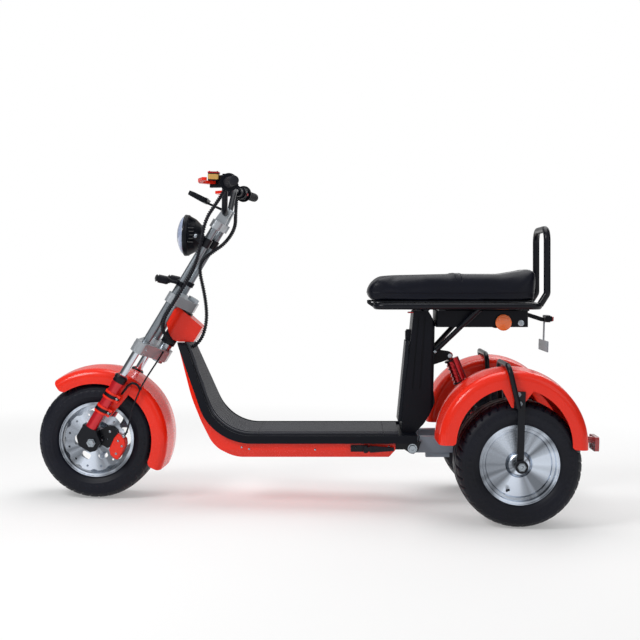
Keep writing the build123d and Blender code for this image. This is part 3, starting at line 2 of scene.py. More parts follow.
# ## 1. Load the imported model
# The frame holds every CAD node, its place baked into its mesh, and the model's record.

# %% Load the frame
import json
import math
import bmesh
import bpy
import numpy as np
from mathutils import Matrix, Vector


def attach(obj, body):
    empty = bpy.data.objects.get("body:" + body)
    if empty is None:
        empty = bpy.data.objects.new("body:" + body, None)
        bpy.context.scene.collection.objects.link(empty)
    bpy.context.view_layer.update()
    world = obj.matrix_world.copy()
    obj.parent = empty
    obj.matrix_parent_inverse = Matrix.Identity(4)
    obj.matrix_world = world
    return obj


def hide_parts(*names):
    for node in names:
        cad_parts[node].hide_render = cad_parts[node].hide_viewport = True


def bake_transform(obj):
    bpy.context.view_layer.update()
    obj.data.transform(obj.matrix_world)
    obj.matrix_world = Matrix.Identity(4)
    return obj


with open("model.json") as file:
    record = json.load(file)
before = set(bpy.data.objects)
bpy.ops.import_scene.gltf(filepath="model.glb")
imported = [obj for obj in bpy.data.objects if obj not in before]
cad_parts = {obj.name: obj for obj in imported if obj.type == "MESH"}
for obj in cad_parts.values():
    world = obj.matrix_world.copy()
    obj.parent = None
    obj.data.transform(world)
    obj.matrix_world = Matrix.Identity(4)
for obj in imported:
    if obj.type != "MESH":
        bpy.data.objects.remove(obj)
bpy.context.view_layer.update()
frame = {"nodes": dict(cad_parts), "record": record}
nodes = frame["nodes"]
record = frame["record"]

# %% [markdown]
# ## 2. Camera, floor and light
# The camera was solved from matching left and right features of the photograph. The vehicle's level
# deck leans by the same angle as the camera's horizon, so one value, TILT, serves both. The two shifts
# slide the picture without turning the camera, so upright edges stay as they are.

# %% Camera
TILT = math.radians(1.62)
CAMERA_PLACE = (0.1285, -3.824, 0.8213)
CAMERA_LENS = 57.8
CAMERA_SHIFT = (-0.0469, -0.0625)
scene = bpy.context.scene
camera_data = bpy.data.cameras.new("camera")
camera_data.sensor_width = 36
camera_data.lens = CAMERA_LENS
camera_data.shift_x, camera_data.shift_y = CAMERA_SHIFT
camera = bpy.data.objects.new("camera", camera_data)
right = Vector((math.cos(TILT), 0, math.sin(TILT)))
up = Vector((-math.sin(TILT), 0, math.cos(TILT)))
back = Vector((0, -1, 0))
turn = Matrix((right, up, back)).transposed().to_4x4()
camera.matrix_world = Matrix.Translation(CAMERA_PLACE) @ turn
scene.collection.objects.link(camera)
scene.camera = camera
scene.view_settings.view_transform = "Standard"
print("camera lens", camera_data.lens)

# %% [markdown]
# A shader is a net of small nodes, each with settings and inputs. One helper adds a node and fills it
# in, so that every net below reads as a list of steps. The second helper tells the rays that go to the
# eye, to gloss or through glass from those that carry soft light.

# %% Shader nodes


def add_node(tree, kind, inputs=None, **settings):
    """A new shader node: first its settings, then its inputs, each a value or the output that feeds it."""
    node = tree.nodes.new("ShaderNode" + kind)
    for key, value in settings.items():
        setattr(node, key, value)
    for key, value in (inputs or {}).items():
        if isinstance(value, bpy.types.NodeSocket):
            tree.links.new(value, node.inputs[key])
        else:
            node.inputs[key].default_value = value
    return node


def seen_rays(tree):
    """1 for rays from the camera, from gloss and through glass, and 0 for the rays that carry soft light."""
    path = add_node(tree, "LightPath")
    total = path.outputs["Is Camera Ray"]
    for name in ("Is Glossy Ray", "Is Transmission Ray"):
        total = add_node(tree, "Math", {0: total, 1: path.outputs[name]}, use_clamp=True).outputs[0]
    return total


print("shader helpers ready")

# %% [markdown]
# The floor is pale and keeps the shadow. Far from the vehicle it fades into the white of the world, so
# that no horizon shows. Near the vehicle the floor is already 30% that white, which thins the shadow.
# Only the rays to the eye, to gloss or through glass see the white, so it adds no soft light.

# %% Floor
FLOOR_REACH = 40
FLOOR_COLOUR = (0.93, 0.93, 0.93, 1)
FADE_FROM, FADE_TO = 1.5, 3.0
NEAR_WHITE = 0.3
corners = [(x * FLOOR_REACH, y * FLOOR_REACH, 0) for x, y in ((-1, -1), (1, -1), (1, 1), (-1, 1))]
floor_mesh = bpy.data.meshes.new("floor")
floor_mesh.from_pydata(corners, [], [(0, 1, 2, 3)])
floor = bpy.data.objects.new("floor", floor_mesh)
scene.collection.objects.link(floor)

floor_paint = bpy.data.materials.new("floor")
floor_paint.use_nodes = True
tree = floor_paint.node_tree
ground = tree.nodes["Principled BSDF"]
ground.inputs["Base Color"].default_value = FLOOR_COLOUR
ground.inputs["Roughness"].default_value = 0.9
ground.inputs["Specular IOR Level"].default_value = 0.1
white = add_node(tree, "Emission")
place = add_node(tree, "TexCoord")
reach = add_node(tree, "VectorMath", {0: place.outputs["Object"]}, operation="LENGTH")
fade = add_node(tree, "MapRange", {"Value": reach.outputs["Value"], "From Min": FADE_FROM,
                                   "From Max": FADE_TO, "To Min": NEAR_WHITE},
                interpolation_type="SMOOTHSTEP")
share = add_node(tree, "Math", {0: fade.outputs["Result"], 1: seen_rays(tree)}, operation="MULTIPLY")
blend = add_node(tree, "MixShader", {"Fac": share.outputs[0], 1: ground.outputs["BSDF"],
                                     2: white.outputs["Emission"]})
tree.links.new(blend.outputs["Shader"], tree.nodes["Material Output"].inputs["Surface"])
floor_mesh.materials.append(floor_paint)
print("floor fades from", FADE_FROM, "to", FADE_TO, "m")

# %% [markdown]
# The world is plain white to the eye, and its soft light is even and low. Gloss sees it brighter in
# front, behind and overhead than to the left and right, so that an upright tube gets a bright line
# along its middle and dark edges.

# %% World
SKY_SOFT = 0.38
GLOSS_MIDDLE, GLOSS_SIDES = 0.55, 0.10
GLOSS_FROM, GLOSS_TO = 0.25, 0.95
world = bpy.data.worlds.new("world")
world.use_nodes = True
tree = world.node_tree
direction = add_node(tree, "TexCoord")
parts = add_node(tree, "SeparateXYZ", {"Vector": direction.outputs["Generated"]})
sideways = add_node(tree, "Math", {0: parts.outputs["X"]}, operation="ABSOLUTE")
gloss = add_node(tree, "MapRange", {"Value": sideways.outputs[0], "From Min": GLOSS_FROM,
                                    "From Max": GLOSS_TO, "To Min": GLOSS_MIDDLE, "To Max": GLOSS_SIDES},
                 interpolation_type="SMOOTHSTEP")
light = add_node(tree, "Mix", {"Factor": seen_rays(tree), "A": SKY_SOFT, "B": gloss.outputs["Result"]})
path = add_node(tree, "LightPath")
strength = add_node(tree, "Mix", {"Factor": path.outputs["Is Camera Ray"], "A": light.outputs["Result"],
                                  "B": 1.0})
backdrop = tree.nodes["Background"]
backdrop.inputs["Color"].default_value = (1, 1, 1, 1)
tree.links.new(strength.outputs["Result"], backdrop.inputs["Strength"])
scene.world = world
print("world strength for soft light", SKY_SOFT)

# %% [markdown]
# Four soft square lamps stand for a studio: a key in front and to the left, a weak fill in front and to
# the right, one overhead and one behind. A large lamp near the object gives soft edges to its shadows.

# %% Lamps


def area_light(name, place, aim, size, power):
    """A soft square light at a place, turned to face a point."""
    data = bpy.data.lights.new(name, "AREA")
    data.shape = "SQUARE"
    data.size = size
    data.energy = power
    light = bpy.data.objects.new(name, data)
    light.location = place
    light.rotation_euler = (Vector(aim) - Vector(place)).to_track_quat("-Z", "Y").to_euler()
    scene.collection.objects.link(light)


area_light("key", (-2.4, -2.4, 3.0), (0, 0, 0.4), 1.4, 75)
area_light("fill", (2.6, -2.4, 2.0), (0.2, 0, 0.5), 2.0, 10)
area_light("top", (0.2, 0.6, 3.4), (0, 0, 0.4), 2.4, 55)
area_light("rear", (1.8, 2.8, 2.6), (0.2, 0, 0.5), 2.0, 30)

# %% [markdown]
# ## 3. Finishes
# One builder makes each finish. A broad noise varies the colour, a fine noise varies the roughness,
# and a cell or noise pattern gives the bump: orange peel on paint, pebbles on the seat cover.
# All of them read object coordinates, which need no unwrapping and stay put when a body moves.

# %% Finish builder
MOTTLE_SCALE = 6.0
MOTTLE_EDGES = (0.3, 0.7)
ROUGH_LEAST, ROUGH_MOST = 0.8, 1.2
COAT_ROUGH = 0.06
BUMP_STRENGTH = 0.6


def finish_material(name, colour, rough, metal=0.0, grain=900.0, depth=0.0, spread=0.0, coat=0.0, spec=0.5,
                    cells=False):
    """Colour times 1 - spread to 1 + spread by a broad noise, roughness by a fine one, and a bump by the same
    fine one. grain is the fine pattern's scale, cells turns it into pebbles, and depth is in metres."""
    material = bpy.data.materials.new(name)
    material.use_nodes = True
    tree = material.node_tree
    shader = tree.nodes["Principled BSDF"]
    levels = {"Metallic": metal, "Coat Weight": coat, "Coat Roughness": COAT_ROUGH, "Specular IOR Level": spec}
    for socket, value in levels.items():
        shader.inputs[socket].default_value = value
    place = add_node(tree, "TexCoord").outputs["Object"]
    broad = add_node(tree, "TexNoise", {"Scale": MOTTLE_SCALE, "Detail": 4, "Vector": place})
    kind, output = ("TexVoronoi", "Distance") if cells else ("TexNoise", "Fac")
    height = add_node(tree, kind, {"Scale": grain, "Vector": place}).outputs[output]
    ramp = add_node(tree, "ValToRGB", {"Fac": broad.outputs["Fac"]})
    for stop, edge, factor in zip(ramp.color_ramp.elements, MOTTLE_EDGES, (1 - spread, 1 + spread)):
        stop.position = edge
        stop.color = [min(1, c * factor) for c in colour] + [1]
    tree.links.new(ramp.outputs["Color"], shader.inputs["Base Color"])
    level = add_node(tree, "MapRange", {"Value": height, "To Min": max(0.02, rough * ROUGH_LEAST),
                                        "To Max": min(1.0, rough * ROUGH_MOST)})
    tree.links.new(level.outputs["Result"], shader.inputs["Roughness"])
    if depth:
        bump = add_node(tree, "Bump", {"Strength": BUMP_STRENGTH, "Distance": depth, "Height": height})
        tree.links.new(bump.outputs["Normal"], shader.inputs["Normal"])
    return material


print("finish builder ready")

# %% [markdown]
# Each row is one finish of the vehicle. The blacks are nearly zero, because real black plastic and
# rubber look grey only where they mirror light. The polished metals are bright and smooth.

# %% Finishes
FINISHES = {
    "red_paint": dict(colour=(0.85, 0.022, 0.006), rough=0.26, coat=0.25, spread=0.04, spec=0.25, grain=260,
                      depth=0.00003),
    "black_paint": dict(colour=(0.002, 0.003, 0.007), rough=0.32, spread=0.2, depth=0.00005, coat=0.1,
                        spec=0.2),
    "grey_paint": dict(colour=(0.20, 0.23, 0.28), rough=0.36, spread=0.06, depth=0.00004),
    "alloy": dict(colour=(0.38, 0.41, 0.44), rough=0.36, metal=0.5, spread=0.10, depth=0.0001, grain=500),
    "chrome": dict(colour=(0.62, 0.66, 0.72), rough=0.10, metal=1.0, spread=0.03),
    "satin": dict(colour=(0.24, 0.27, 0.30), rough=0.36, metal=0.8, spread=0.06, depth=0.00004),
    "mat": dict(colour=(0.018, 0.020, 0.030), rough=0.34, spread=0.2, depth=0.00004, grain=700, spec=0.45),
    "panel": dict(colour=(0.008, 0.010, 0.016), rough=0.45, spread=0.1, depth=0.00006, spec=0.2),
    "steel": dict(colour=(0.36, 0.40, 0.44), rough=0.24, metal=1.0, spread=0.05),
    "tyre": dict(colour=(0.004, 0.005, 0.011), rough=0.46, spread=0.35, depth=0.0002, grain=700, spec=0.24),
    "rubber": dict(colour=(0.008, 0.009, 0.014), rough=0.55, spread=0.2, depth=0.00012, grain=900, spec=0.25),
    "black_plastic": dict(colour=(0.002, 0.003, 0.007), rough=0.40, spread=0.15, depth=0.0001, grain=800,
                          spec=0.16),
    "leather": dict(colour=(0.002, 0.003, 0.009), rough=0.38, spread=0.2, depth=0.00035, grain=380,
                    cells=True, spec=0.2),
    "lens": dict(colour=(0.34, 0.40, 0.56), rough=0.10, coat=0.6, spread=0.03),
    "red_lens": dict(colour=(0.36, 0.006, 0.008), rough=0.12, coat=1.0, spread=0.15, grain=300, cells=True,
                     depth=0.0006),
    "orange_lens": dict(colour=(0.86, 0.16, 0.01), rough=0.14, coat=1.0, spread=0.12, grain=300, cells=True,
                        depth=0.0006),
    "gold": dict(colour=(0.86, 0.52, 0.16), rough=0.28, metal=1.0, spread=0.05),
    "anodised": dict(colour=(0.42, 0.006, 0.012), rough=0.24, metal=0.8, coat=0.3, spread=0.06),
    "deep_red": dict(colour=(0.58, 0.008, 0.018), rough=0.24, metal=0.35, coat=0.3, spread=0.05),
    "glass": dict(colour=(0.008, 0.009, 0.012), rough=0.05, coat=1.0, spread=0.05),
}
finishes = {name: finish_material(name, **look) for name, look in FINISHES.items()}
print("finishes", len(finishes))

# %% [markdown]
# A CAD node takes the finish of its material slot. A few pieces share a slot with others that look
# different, as the floor mat does with the rubber grips, and take a finish of their own.

# %% Finishes of the CAD nodes
OWN_FINISH = {"upper_tubes": "satin", "floor_mat": "mat", "deck_lid": "mat", "column_panel": "panel",
              "rear_shock": "anodised", "shock_spring": "black_paint", "fork_legs": "deep_red"}
for row in record["subparts"]:
    piece = nodes[row["node"]]
    piece.data.materials.clear()
    piece.data.materials.append(finishes[OWN_FINISH.get(row["node"], row["material_slot"])])
print("nodes with their own finish", len(OWN_FINISH))

# %% [markdown]
# The rear hub covers are spun on a lathe, so their marks are fine rings about the axle: a noise of the
# distance from the axle, along one line, gives the bump. Stretched highlights give such covers their
# bright fans, but this soft light hardly shows them. So the fans are partly painted: a second noise, of
# the direction from the axle, lightens and darkens the metal. The front rim and its disc share the
# finish.

# %% Spun alloy
SPUN_COLOUR, SPUN_ROUGH = (0.40, 0.44, 0.50), 0.26
SPUN_STRETCH = 0.92
PAINTED_FAN_SCALE, PAINTED_FAN_DETAIL = 1.7, 1.5
PAINTED_FAN_FROM, PAINTED_FAN_TO = 0.36, 0.64
PAINTED_FAN_DARK, PAINTED_FAN_BRIGHT = 0.45, 1.75
MARK_SCALE, MARK_DETAIL = 900, 3
MARK_STRENGTH, MARK_DEPTH = 0.5, 0.00004


def spun_with_painted_fans(name, centre):
    """Lathe marks from a noise of the distance from the axle, and painted highlight fans from a noise of its
    direction.
    """
    material = finish_material(name, SPUN_COLOUR, SPUN_ROUGH, metal=1.0, spread=0.04)
    tree = material.node_tree
    shader = tree.nodes["Principled BSDF"]
    shader.inputs["Anisotropic"].default_value = SPUN_STRETCH
    place = add_node(tree, "TexCoord").outputs["Object"]
    move = add_node(tree, "Mapping", {"Location": [-c for c in centre], "Vector": place})
    flat = add_node(tree, "VectorMath", {0: move.outputs["Vector"], 1: (1, 0, 1)}, operation="MULTIPLY")
    radius = add_node(tree, "VectorMath", {0: flat.outputs["Vector"]}, operation="LENGTH")
    way = add_node(tree, "VectorMath", {0: flat.outputs["Vector"]}, operation="NORMALIZE")
    # painted highlight and shade: a noise of the direction from the axle scales the metal's colour in fans,
    # which turn with the wheel
    fans = add_node(tree, "TexNoise", {"Scale": PAINTED_FAN_SCALE, "Detail": PAINTED_FAN_DETAIL,
                                       "Vector": way.outputs["Vector"]})
    gain = add_node(tree, "MapRange", {"Value": fans.outputs["Fac"], "From Min": PAINTED_FAN_FROM, "From Max": PAINTED_FAN_TO,
                                       "To Min": PAINTED_FAN_DARK, "To Max": PAINTED_FAN_BRIGHT})
    plain = shader.inputs["Base Color"].links[0].from_socket
    shade = add_node(tree, "VectorMath", {0: plain, "Scale": gain.outputs["Result"]}, operation="SCALE")
    tree.links.new(shade.outputs["Vector"], shader.inputs["Base Color"])
    marks = add_node(tree, "TexNoise", {"W": radius.outputs["Value"], "Scale": MARK_SCALE,
                                        "Detail": MARK_DETAIL}, noise_dimensions="1D")
    bump = add_node(tree, "Bump", {"Strength": MARK_STRENGTH, "Distance": MARK_DEPTH,
                                   "Height": marks.outputs["Fac"]})
    tree.links.new(bump.outputs["Normal"], shader.inputs["Normal"])
    tangent = add_node(tree, "Tangent", direction_type="RADIAL", axis="Y")
    tree.links.new(tangent.outputs["Tangent"], shader.inputs["Tangent"])
    return material


WHEELS = {"front": ("front_wheel", (-0.7773, 0.0, 0.215)),
          "rear_left": ("rear_wheel_left", (0.7172, -0.283, 0.215)),
          "rear_right": ("rear_wheel_right", (0.7172, 0.283, 0.215))}
SPUN = {"front_rim": "front", "front_disc": "front", "rear_left_hub": "rear_left",
        "rear_right_hub": "rear_right"}
for node, wheel in SPUN.items():
    nodes[node].data.materials[0] = spun_with_painted_fans(f"spun_{node}", WHEELS[wheel][1])
print("spun pieces", len(SPUN))

# %% [markdown]
# ## 4. Surface tools
# Every new piece is a surface worked out with numpy. Most of the vehicle leans one of two ways, so its
# places are written in two frames in millimetres: one along the deck, and one along the steering axis.

# %% Frames of the deck and of the fork
MM = 0.001
RAKE = math.radians(29.5)
STEER = np.array([-0.507, 0.0, 0.6335])
ACROSS = np.array([0.0, 1.0, 0.0])
FORK_BACK = np.array([math.cos(RAKE), 0.0, -math.sin(RAKE)])
FORK_UP = np.array([math.sin(RAKE), 0.0, math.cos(RAKE)])
DECK_BACK = np.array([math.cos(TILT), 0.0, math.sin(TILT)])
DECK_UP = np.array([-math.sin(TILT), 0.0, math.cos(TILT)])
OUT = {-1: np.array([0.0, -1.0, 0.0]), 1: np.array([0.0, 1.0, 0.0])}


def deck_point(u, w, y):
    """Millimetres in the deck's frame to metres: u along the deck, w up and y across, added up."""
    u, w, y = (np.asarray(v, float)[..., None] for v in (u, w, y))
    return MM * (u * DECK_BACK + w * DECK_UP + y * ACROSS)


def fork_point(p, q, y):
    """Millimetres in the steering frame to metres: p behind the axis, q up along it and y across."""
    p, q, y = (np.asarray(v, float)[..., None] for v in (p, q, y))
    return STEER + MM * (p * FORK_BACK + q * FORK_UP + y * ACROSS)


print("fork foot at", np.round(fork_point(-29.2, -497.4, 0), 4))

# %% [markdown]
# A surface is a grid of points, a function of two parameters, and its faces join neighbours. Blender
# could build one vertex at a time, but whole arrays are quicker and keep the formula in one line.

# %% Grids


def grid_faces(rows, columns, wrap_rows=False, wrap_columns=False):
    """Quads of a grid: the point in row i and column j joins the next row and column, round the end if
    the grid wraps."""
    i, j = np.meshgrid(np.arange(rows - (not wrap_rows)), np.arange(columns - (not wrap_columns)),
                       indexing="ij")
    below = (i + 1) % rows
    beside = (j + 1) % columns
    return np.stack([i * columns + j, i * columns + beside, below * columns + beside, below * columns + j],
                    -1).reshape(-1, 4)


def surface(points, wrap_rows=False, wrap_columns=False):
    """The points and quads of a grid, rows by columns by 3."""
    return points.reshape(-1, 3), grid_faces(*points.shape[:2], wrap_rows, wrap_columns)


print("quads of a grid of 3 by 4 points", len(grid_faces(3, 4)))

# %% [markdown]
# Three makers cover most pieces: a profile turned round an axis, as on a lathe, a circle carried along
# a path, as a hose is, and a rounded block.

# %% Turned profiles


def square_to(along):
    """A unit axis, and two more that are square to it."""
    axis = np.asarray(along, float) / np.linalg.norm(along)
    helper = np.eye(3)[np.argmin(np.abs(axis))]
    side = np.cross(helper, axis)
    side /= np.linalg.norm(side)
    return axis, side, np.cross(axis, side)


def turned(profile, centre, along, segments=32, ring=False):
    """A profile of (distance, radius) in millimetres turned round an axis:
    centre + distance * axis + radius * (cos a * side + sin a * over). A ring's profile closes on itself."""
    axis, side, over = square_to(along)
    distance, radius = MM * np.asarray(profile, float).T[:, :, None, None]
    angle = np.linspace(0, 2 * np.pi, segments, endpoint=False)[:, None]
    spoke = np.cos(angle) * side + np.sin(angle) * over
    return surface(np.asarray(centre) + distance * axis + radius * spoke, wrap_rows=ring, wrap_columns=True)


print("points of a turned washer", len(turned([(0, 5), (1, 5)], (0, 0, 0), ACROSS)[0]))

# %% Circles carried along a path


def path_frames(path):
    """Unit vectors side and over at each point of a path, square to its run and to the way it leans least."""
    run = np.gradient(path, axis=0)
    run /= np.linalg.norm(run, axis=1, keepdims=True)
    least = np.linalg.svd(run)[2][-1]
    side = np.cross(run, least)
    side /= np.linalg.norm(side, axis=1, keepdims=True)
    return side, np.cross(run, side)


def swept(path, radius, sides=12):
    """A circle carried along a path: point + radius * (cos a * side + sin a * over). radius is in millimetres,
    one number, or one for each point and angle."""
    path = np.asarray(path, float)
    side, over = path_frames(path)
    angle = np.linspace(0, 2 * np.pi, sides, endpoint=False)[:, None]
    spoke = np.cos(angle) * side[:, None] + np.sin(angle) * over[:, None]
    size = MM * np.broadcast_to(np.asarray(radius, float), (len(path), sides))[..., None]
    return surface(path[:, None] + size * spoke, wrap_columns=True)


print("path tools ready")

# %% [markdown]
# A box with round edges could be a cube with a Bevel modifier. Here it is stacked from one flat outline,
# because one formula then rounds its corners and its ends alike.

# %% Rounded blocks
BLOCK_RINGS, BLOCK_SIDES = 9, 32


def block(centre, axes, half, corner=0.25):
    """A superellipse |x/a|^n + |y/b|^n = 1 stacked along the third axis. Its first and last rings close to a
    point, and those between are drawn in by the same curve, at most by half the corner. half is the three
    half sizes in millimetres, and corner is 0, sharp, to 1, round."""
    power = 2 / max(corner, 0.05)
    angle = np.linspace(0, 2 * np.pi, BLOCK_SIDES, endpoint=False)
    reach = (np.abs(np.cos(angle)) ** power + np.abs(np.sin(angle)) ** power) ** (-1 / power)
    rise = np.linspace(-1, 1, BLOCK_RINGS)
    draw = (1 - np.abs(rise) ** power) ** (1 / power)
    draw[1:-1] = np.maximum(draw[1:-1], 1 - corner / 2)
    x = half[0] * draw[:, None] * (reach * np.cos(angle))
    y = half[1] * draw[:, None] * (reach * np.sin(angle))
    z = half[2] * rise[:, None] * np.ones(BLOCK_SIDES)
    points = np.asarray(centre) + MM * sum(v[..., None] * np.asarray(a) for v, a in zip((x, y, z), axes))
    return surface(points, wrap_columns=True)


print("points of a block", BLOCK_RINGS * BLOCK_SIDES)

# %% [markdown]
# The surfaces of one piece are joined here. Points that fall together, as at a pole, are merged, open
# ends are filled, and the normals are turned outwards, so that the piece is a closed solid. Edges
# sharper than an angle keep their crease, and the rest is shaded smooth. Last, the piece takes its
# finish and is told which body it rides on.

# %% Make a piece


def make(name, parts, body, finish, angle=38):
    """Join surfaces into one piece: doubles merged, ends closed, faces turned outwards, ridden on its body."""
    starts = np.cumsum([0] + [len(points) for points, _ in parts])
    mesh = bpy.data.meshes.new(name)
    faces = np.concatenate([quads + start for (_, quads), start in zip(parts, starts)])
    mesh.from_pydata(np.concatenate([points for points, _ in parts]).tolist(), [], faces.tolist())
    work = bmesh.new()
    work.from_mesh(mesh)
    bmesh.ops.remove_doubles(work, verts=work.verts, dist=1e-6)
    bmesh.ops.dissolve_degenerate(work, edges=work.edges, dist=1e-7)
    bmesh.ops.holes_fill(work, edges=[edge for edge in work.edges if edge.is_boundary], sides=0)
    bmesh.ops.recalc_face_normals(work, faces=work.faces)
    work.to_mesh(mesh)
    work.free()
    mesh.shade_smooth()
    mesh.set_sharp_from_angle(angle=math.radians(angle))
    mesh.materials.append(finishes[finish])
    piece = bpy.data.objects.new(name, mesh)
    scene.collection.objects.link(piece)
    if body:
        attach(piece, body)
    print(name, len(mesh.polygons), "faces")
    return piece


print("maker ready")

# %% [markdown]
# A line drawn with a few points has corners. Resampling it evenly and moving each point towards the
# middle of its neighbours, a few times over, rounds them without pulling the line far away.

# %% Even and eased lines


def arc_line(points, count):
    """Points at even steps along a polyline, by its length."""
    points = np.asarray(points, float)
    steps = np.concatenate([[0], np.cumsum(np.linalg.norm(np.diff(points, axis=0), axis=1))])
    at = np.linspace(0, steps[-1], count)
    return np.stack([np.interp(at, steps, column) for column in points.T], -1)


def rounded(points, passes, count, closed=False):
    """A polyline resampled evenly, then eased: each pass moves a point to a quarter of each neighbour plus
    half of itself."""
    line = arc_line(np.vstack([points, points[:1]]) if closed else points, count)
    for _ in range(passes):
        if closed:
            line = (np.roll(line, 1, 0) + 2 * line + np.roll(line, -1, 0)) / 4
        else:
            line[1:-1] = (line[:-2] + 2 * line[1:-1] + line[2:]) / 4
    return line


def ramp_up(value, start, length):
    """0 up to the start, then a straight rise to 1 over the length, and 1 after it."""
    return np.clip((value - start) / length, 0, 1)


print("halfway up a ramp", ramp_up(15, 10, 10))

# %% [markdown]
# ## 5. Tyres
# The tread has four plain grooves round the crown, slanting cuts at the shoulders and between the
# grooves, and the walls have fine rings and raised bars. Modelling each block of rubber would take
# thousands of faces and many joints. Instead the surface is a function of the angle round the axle and
# the place along the section, so each groove is one smooth step of those two, pressed into the radius,
# and each wall mark is one raised sideways.

# %% Tyre section and marks, in millimetres
TYRE_HALF = [(78, 127.6), (80, 134), (88.6, 136.5), (92, 140), (97.5, 149), (102.3, 163), (102.6, 176),
             (97.5, 195), (86.5, 206), (64.5, 213), (34, 214.6), (0, 215)]
SECTION_POINTS = 150
TYRE_TURNS = 480
CROWN_FROM, CROWN_SOFT = 196, 6
GROOVE_DEPTH = 5.0
# a groove is its place across from the middle, its width, and how soft its sides are
GROOVES = ((24, 7, 2), (60, 6, 2))
# a cut leans by a share of its spacing for each millimetre across, and eases in from its start
CUTS, CUT_SPACING = 40, 33.8
OUTER_CUT = dict(lean=0.012, width=6, soft=3, start=62, ease=3)
INNER_CUT = dict(lean=0.03, turn=0.25, width=4, soft=3, start=26, end=58, ease=3, share=0.6)
WALL_FROM = 80
RING_RADII, RING_WIDTH, RING_SOFT = (157, 187), 5, 3
BARS, BAR_SPACING, BAR_WIDTH, BAR_SOFT = 48, 22, 8, 4
BAR_RADIUS, BAR_LENGTH, MARK_HEIGHT = 172, 12, 1.1
COMB_TEETH, COMB_HEIGHT, COMB_SOFT = 120, 0.5, 2


def step(distance, width, soft):
    """1 inside a band of that width round zero and 0 outside, with soft sides."""
    return np.clip((width / 2 - np.abs(distance)) / soft + 0.5, 0, 1)


def from_nearest(turns, spacing):
    """Millimetres to the middle of the nearest mark, where marks come once in every whole step of turns."""
    return (turns % 1 - 0.5) * spacing


half = np.array(TYRE_HALF, float)
tyre_section = rounded(np.vstack([half * (-1, 1), half[-2::-1]]), 3, SECTION_POINTS)
print("tyre section points", len(tyre_section), "radius", tyre_section[:, 1].max().round(1))

# %% Tread and walls


def tread_depth(across, radius, angle):
    """How deep the tread is pressed: crown's share * the deepest of the grooves and the two rows of cuts."""
    reach = np.abs(across)
    grooves = np.maximum(*(step(reach - place, width, soft) for place, width, soft in GROOVES))
    phase = angle * CUTS / (2 * np.pi)
    row = OUTER_CUT
    outer = from_nearest(phase + reach * row["lean"] + (across > 0) * 0.5, CUT_SPACING)
    outer = step(outer, row["width"], row["soft"]) * ramp_up(reach, row["start"], row["ease"])
    row = INNER_CUT
    inner = from_nearest(phase + reach * row["lean"] + row["turn"], CUT_SPACING)
    inner = step(inner, row["width"], row["soft"]) * ramp_up(reach, row["start"], row["ease"])
    inner = inner * ramp_up(-reach, -row["end"], row["ease"])
    crown = ramp_up(radius, CROWN_FROM, CROWN_SOFT)
    return GROOVE_DEPTH * crown * np.maximum(grooves, np.maximum(outer, inner * row["share"]))


def wall_height(across, radius, angle):
    """How far the walls' marks stand out: two rings, the bars between them, and a fine comb over the bars."""
    wall = np.abs(across) > WALL_FROM
    rings = sum(step(radius - ring, RING_WIDTH, RING_SOFT) for ring in RING_RADII)
    bars = step(from_nearest(angle * BARS / (2 * np.pi), BAR_SPACING), BAR_WIDTH, BAR_SOFT)
    bars = bars * step(radius - BAR_RADIUS, BAR_LENGTH, BAR_SOFT)
    comb = step(radius - BAR_RADIUS, BAR_LENGTH, COMB_SOFT) * (np.cos(angle * COMB_TEETH) > 0)
    return (MARK_HEIGHT * (rings + bars) + COMB_HEIGHT * comb) * wall


def tyre(name, wheel):
    """Section times angle a: x and z = (radius - tread depth) * sin a and cos a, y = across + wall height."""
    body, centre = WHEELS[wheel]
    across, radius = tyre_section.T[:, :, None]
    angle = np.linspace(0, 2 * np.pi, TYRE_TURNS, endpoint=False)[None, :]
    deep = radius - tread_depth(across, radius, angle)
    wide = across + np.sign(across) * wall_height(across, radius, angle)
    points = np.stack([deep * np.sin(angle), wide, deep * np.cos(angle)], -1)
    grid = surface(np.asarray(centre) + MM * points, wrap_rows=True, wrap_columns=True)
    piece = make(name, [grid], body, "tyre", angle=50)
    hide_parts(f"{wheel}_tyre")


for wheel in WHEELS:
    tyre(f"{wheel}_tread", wheel)

# %% [markdown]
# ## 6. Seat
# The double seat is foam under a black cover. The CAD cushion is copied, remeshed evenly and smoothed,
# which draws its edges in a little. Then it is blown up as cloth under pressure, with a cap on how far
# it may swell, so that it crowns between its edges as foam does. Sculpting could do it too, but the
# cloth finds the crown by itself, and the cap keeps its size known.

# %% Seat cushion
CUSHION_SWELL = 0.009
VOXEL = 0.005
SMOOTH_SHARE, SMOOTH_TIMES = 0.6, 30


def read_points(mesh):
    """All vertex places of a mesh as one array."""
    points = np.empty(len(mesh.vertices) * 3)
    mesh.vertices.foreach_get("co", points)
    return points.reshape(-1, 3)


def write_points(mesh, points):
    """Put an array of places back into a mesh."""
    mesh.vertices.foreach_set("co", points.ravel())
    mesh.update()


def settle(piece):
    """Put the result of the modifiers into the piece's own mesh, and drop them."""
    depsgraph = bpy.context.evaluated_depsgraph_get()
    mesh = bpy.data.meshes.new_from_object(piece.evaluated_get(depsgraph))
    piece.modifiers.clear()
    old = piece.data
    piece.data = mesh
    bpy.data.meshes.remove(old)


def cushion_copy():
    """A copy of the CAD cushion: its doubles merged, remeshed to even faces, and smoothed."""
    mesh = nodes["seat_cushion"].data.copy()
    mesh.name = "seat_pad"
    work = bmesh.new()
    work.from_mesh(mesh)
    bmesh.ops.remove_doubles(work, verts=work.verts, dist=1e-5)
    work.to_mesh(mesh)
    work.free()
    piece = bpy.data.objects.new("seat_pad", mesh)
    scene.collection.objects.link(piece)
    even = piece.modifiers.new("even", "REMESH")
    even.mode = "VOXEL"
    even.voxel_size = VOXEL
    ease = piece.modifiers.new("ease", "SMOOTH")
    ease.factor = SMOOTH_SHARE
    ease.iterations = SMOOTH_TIMES
    settle(piece)
    return piece


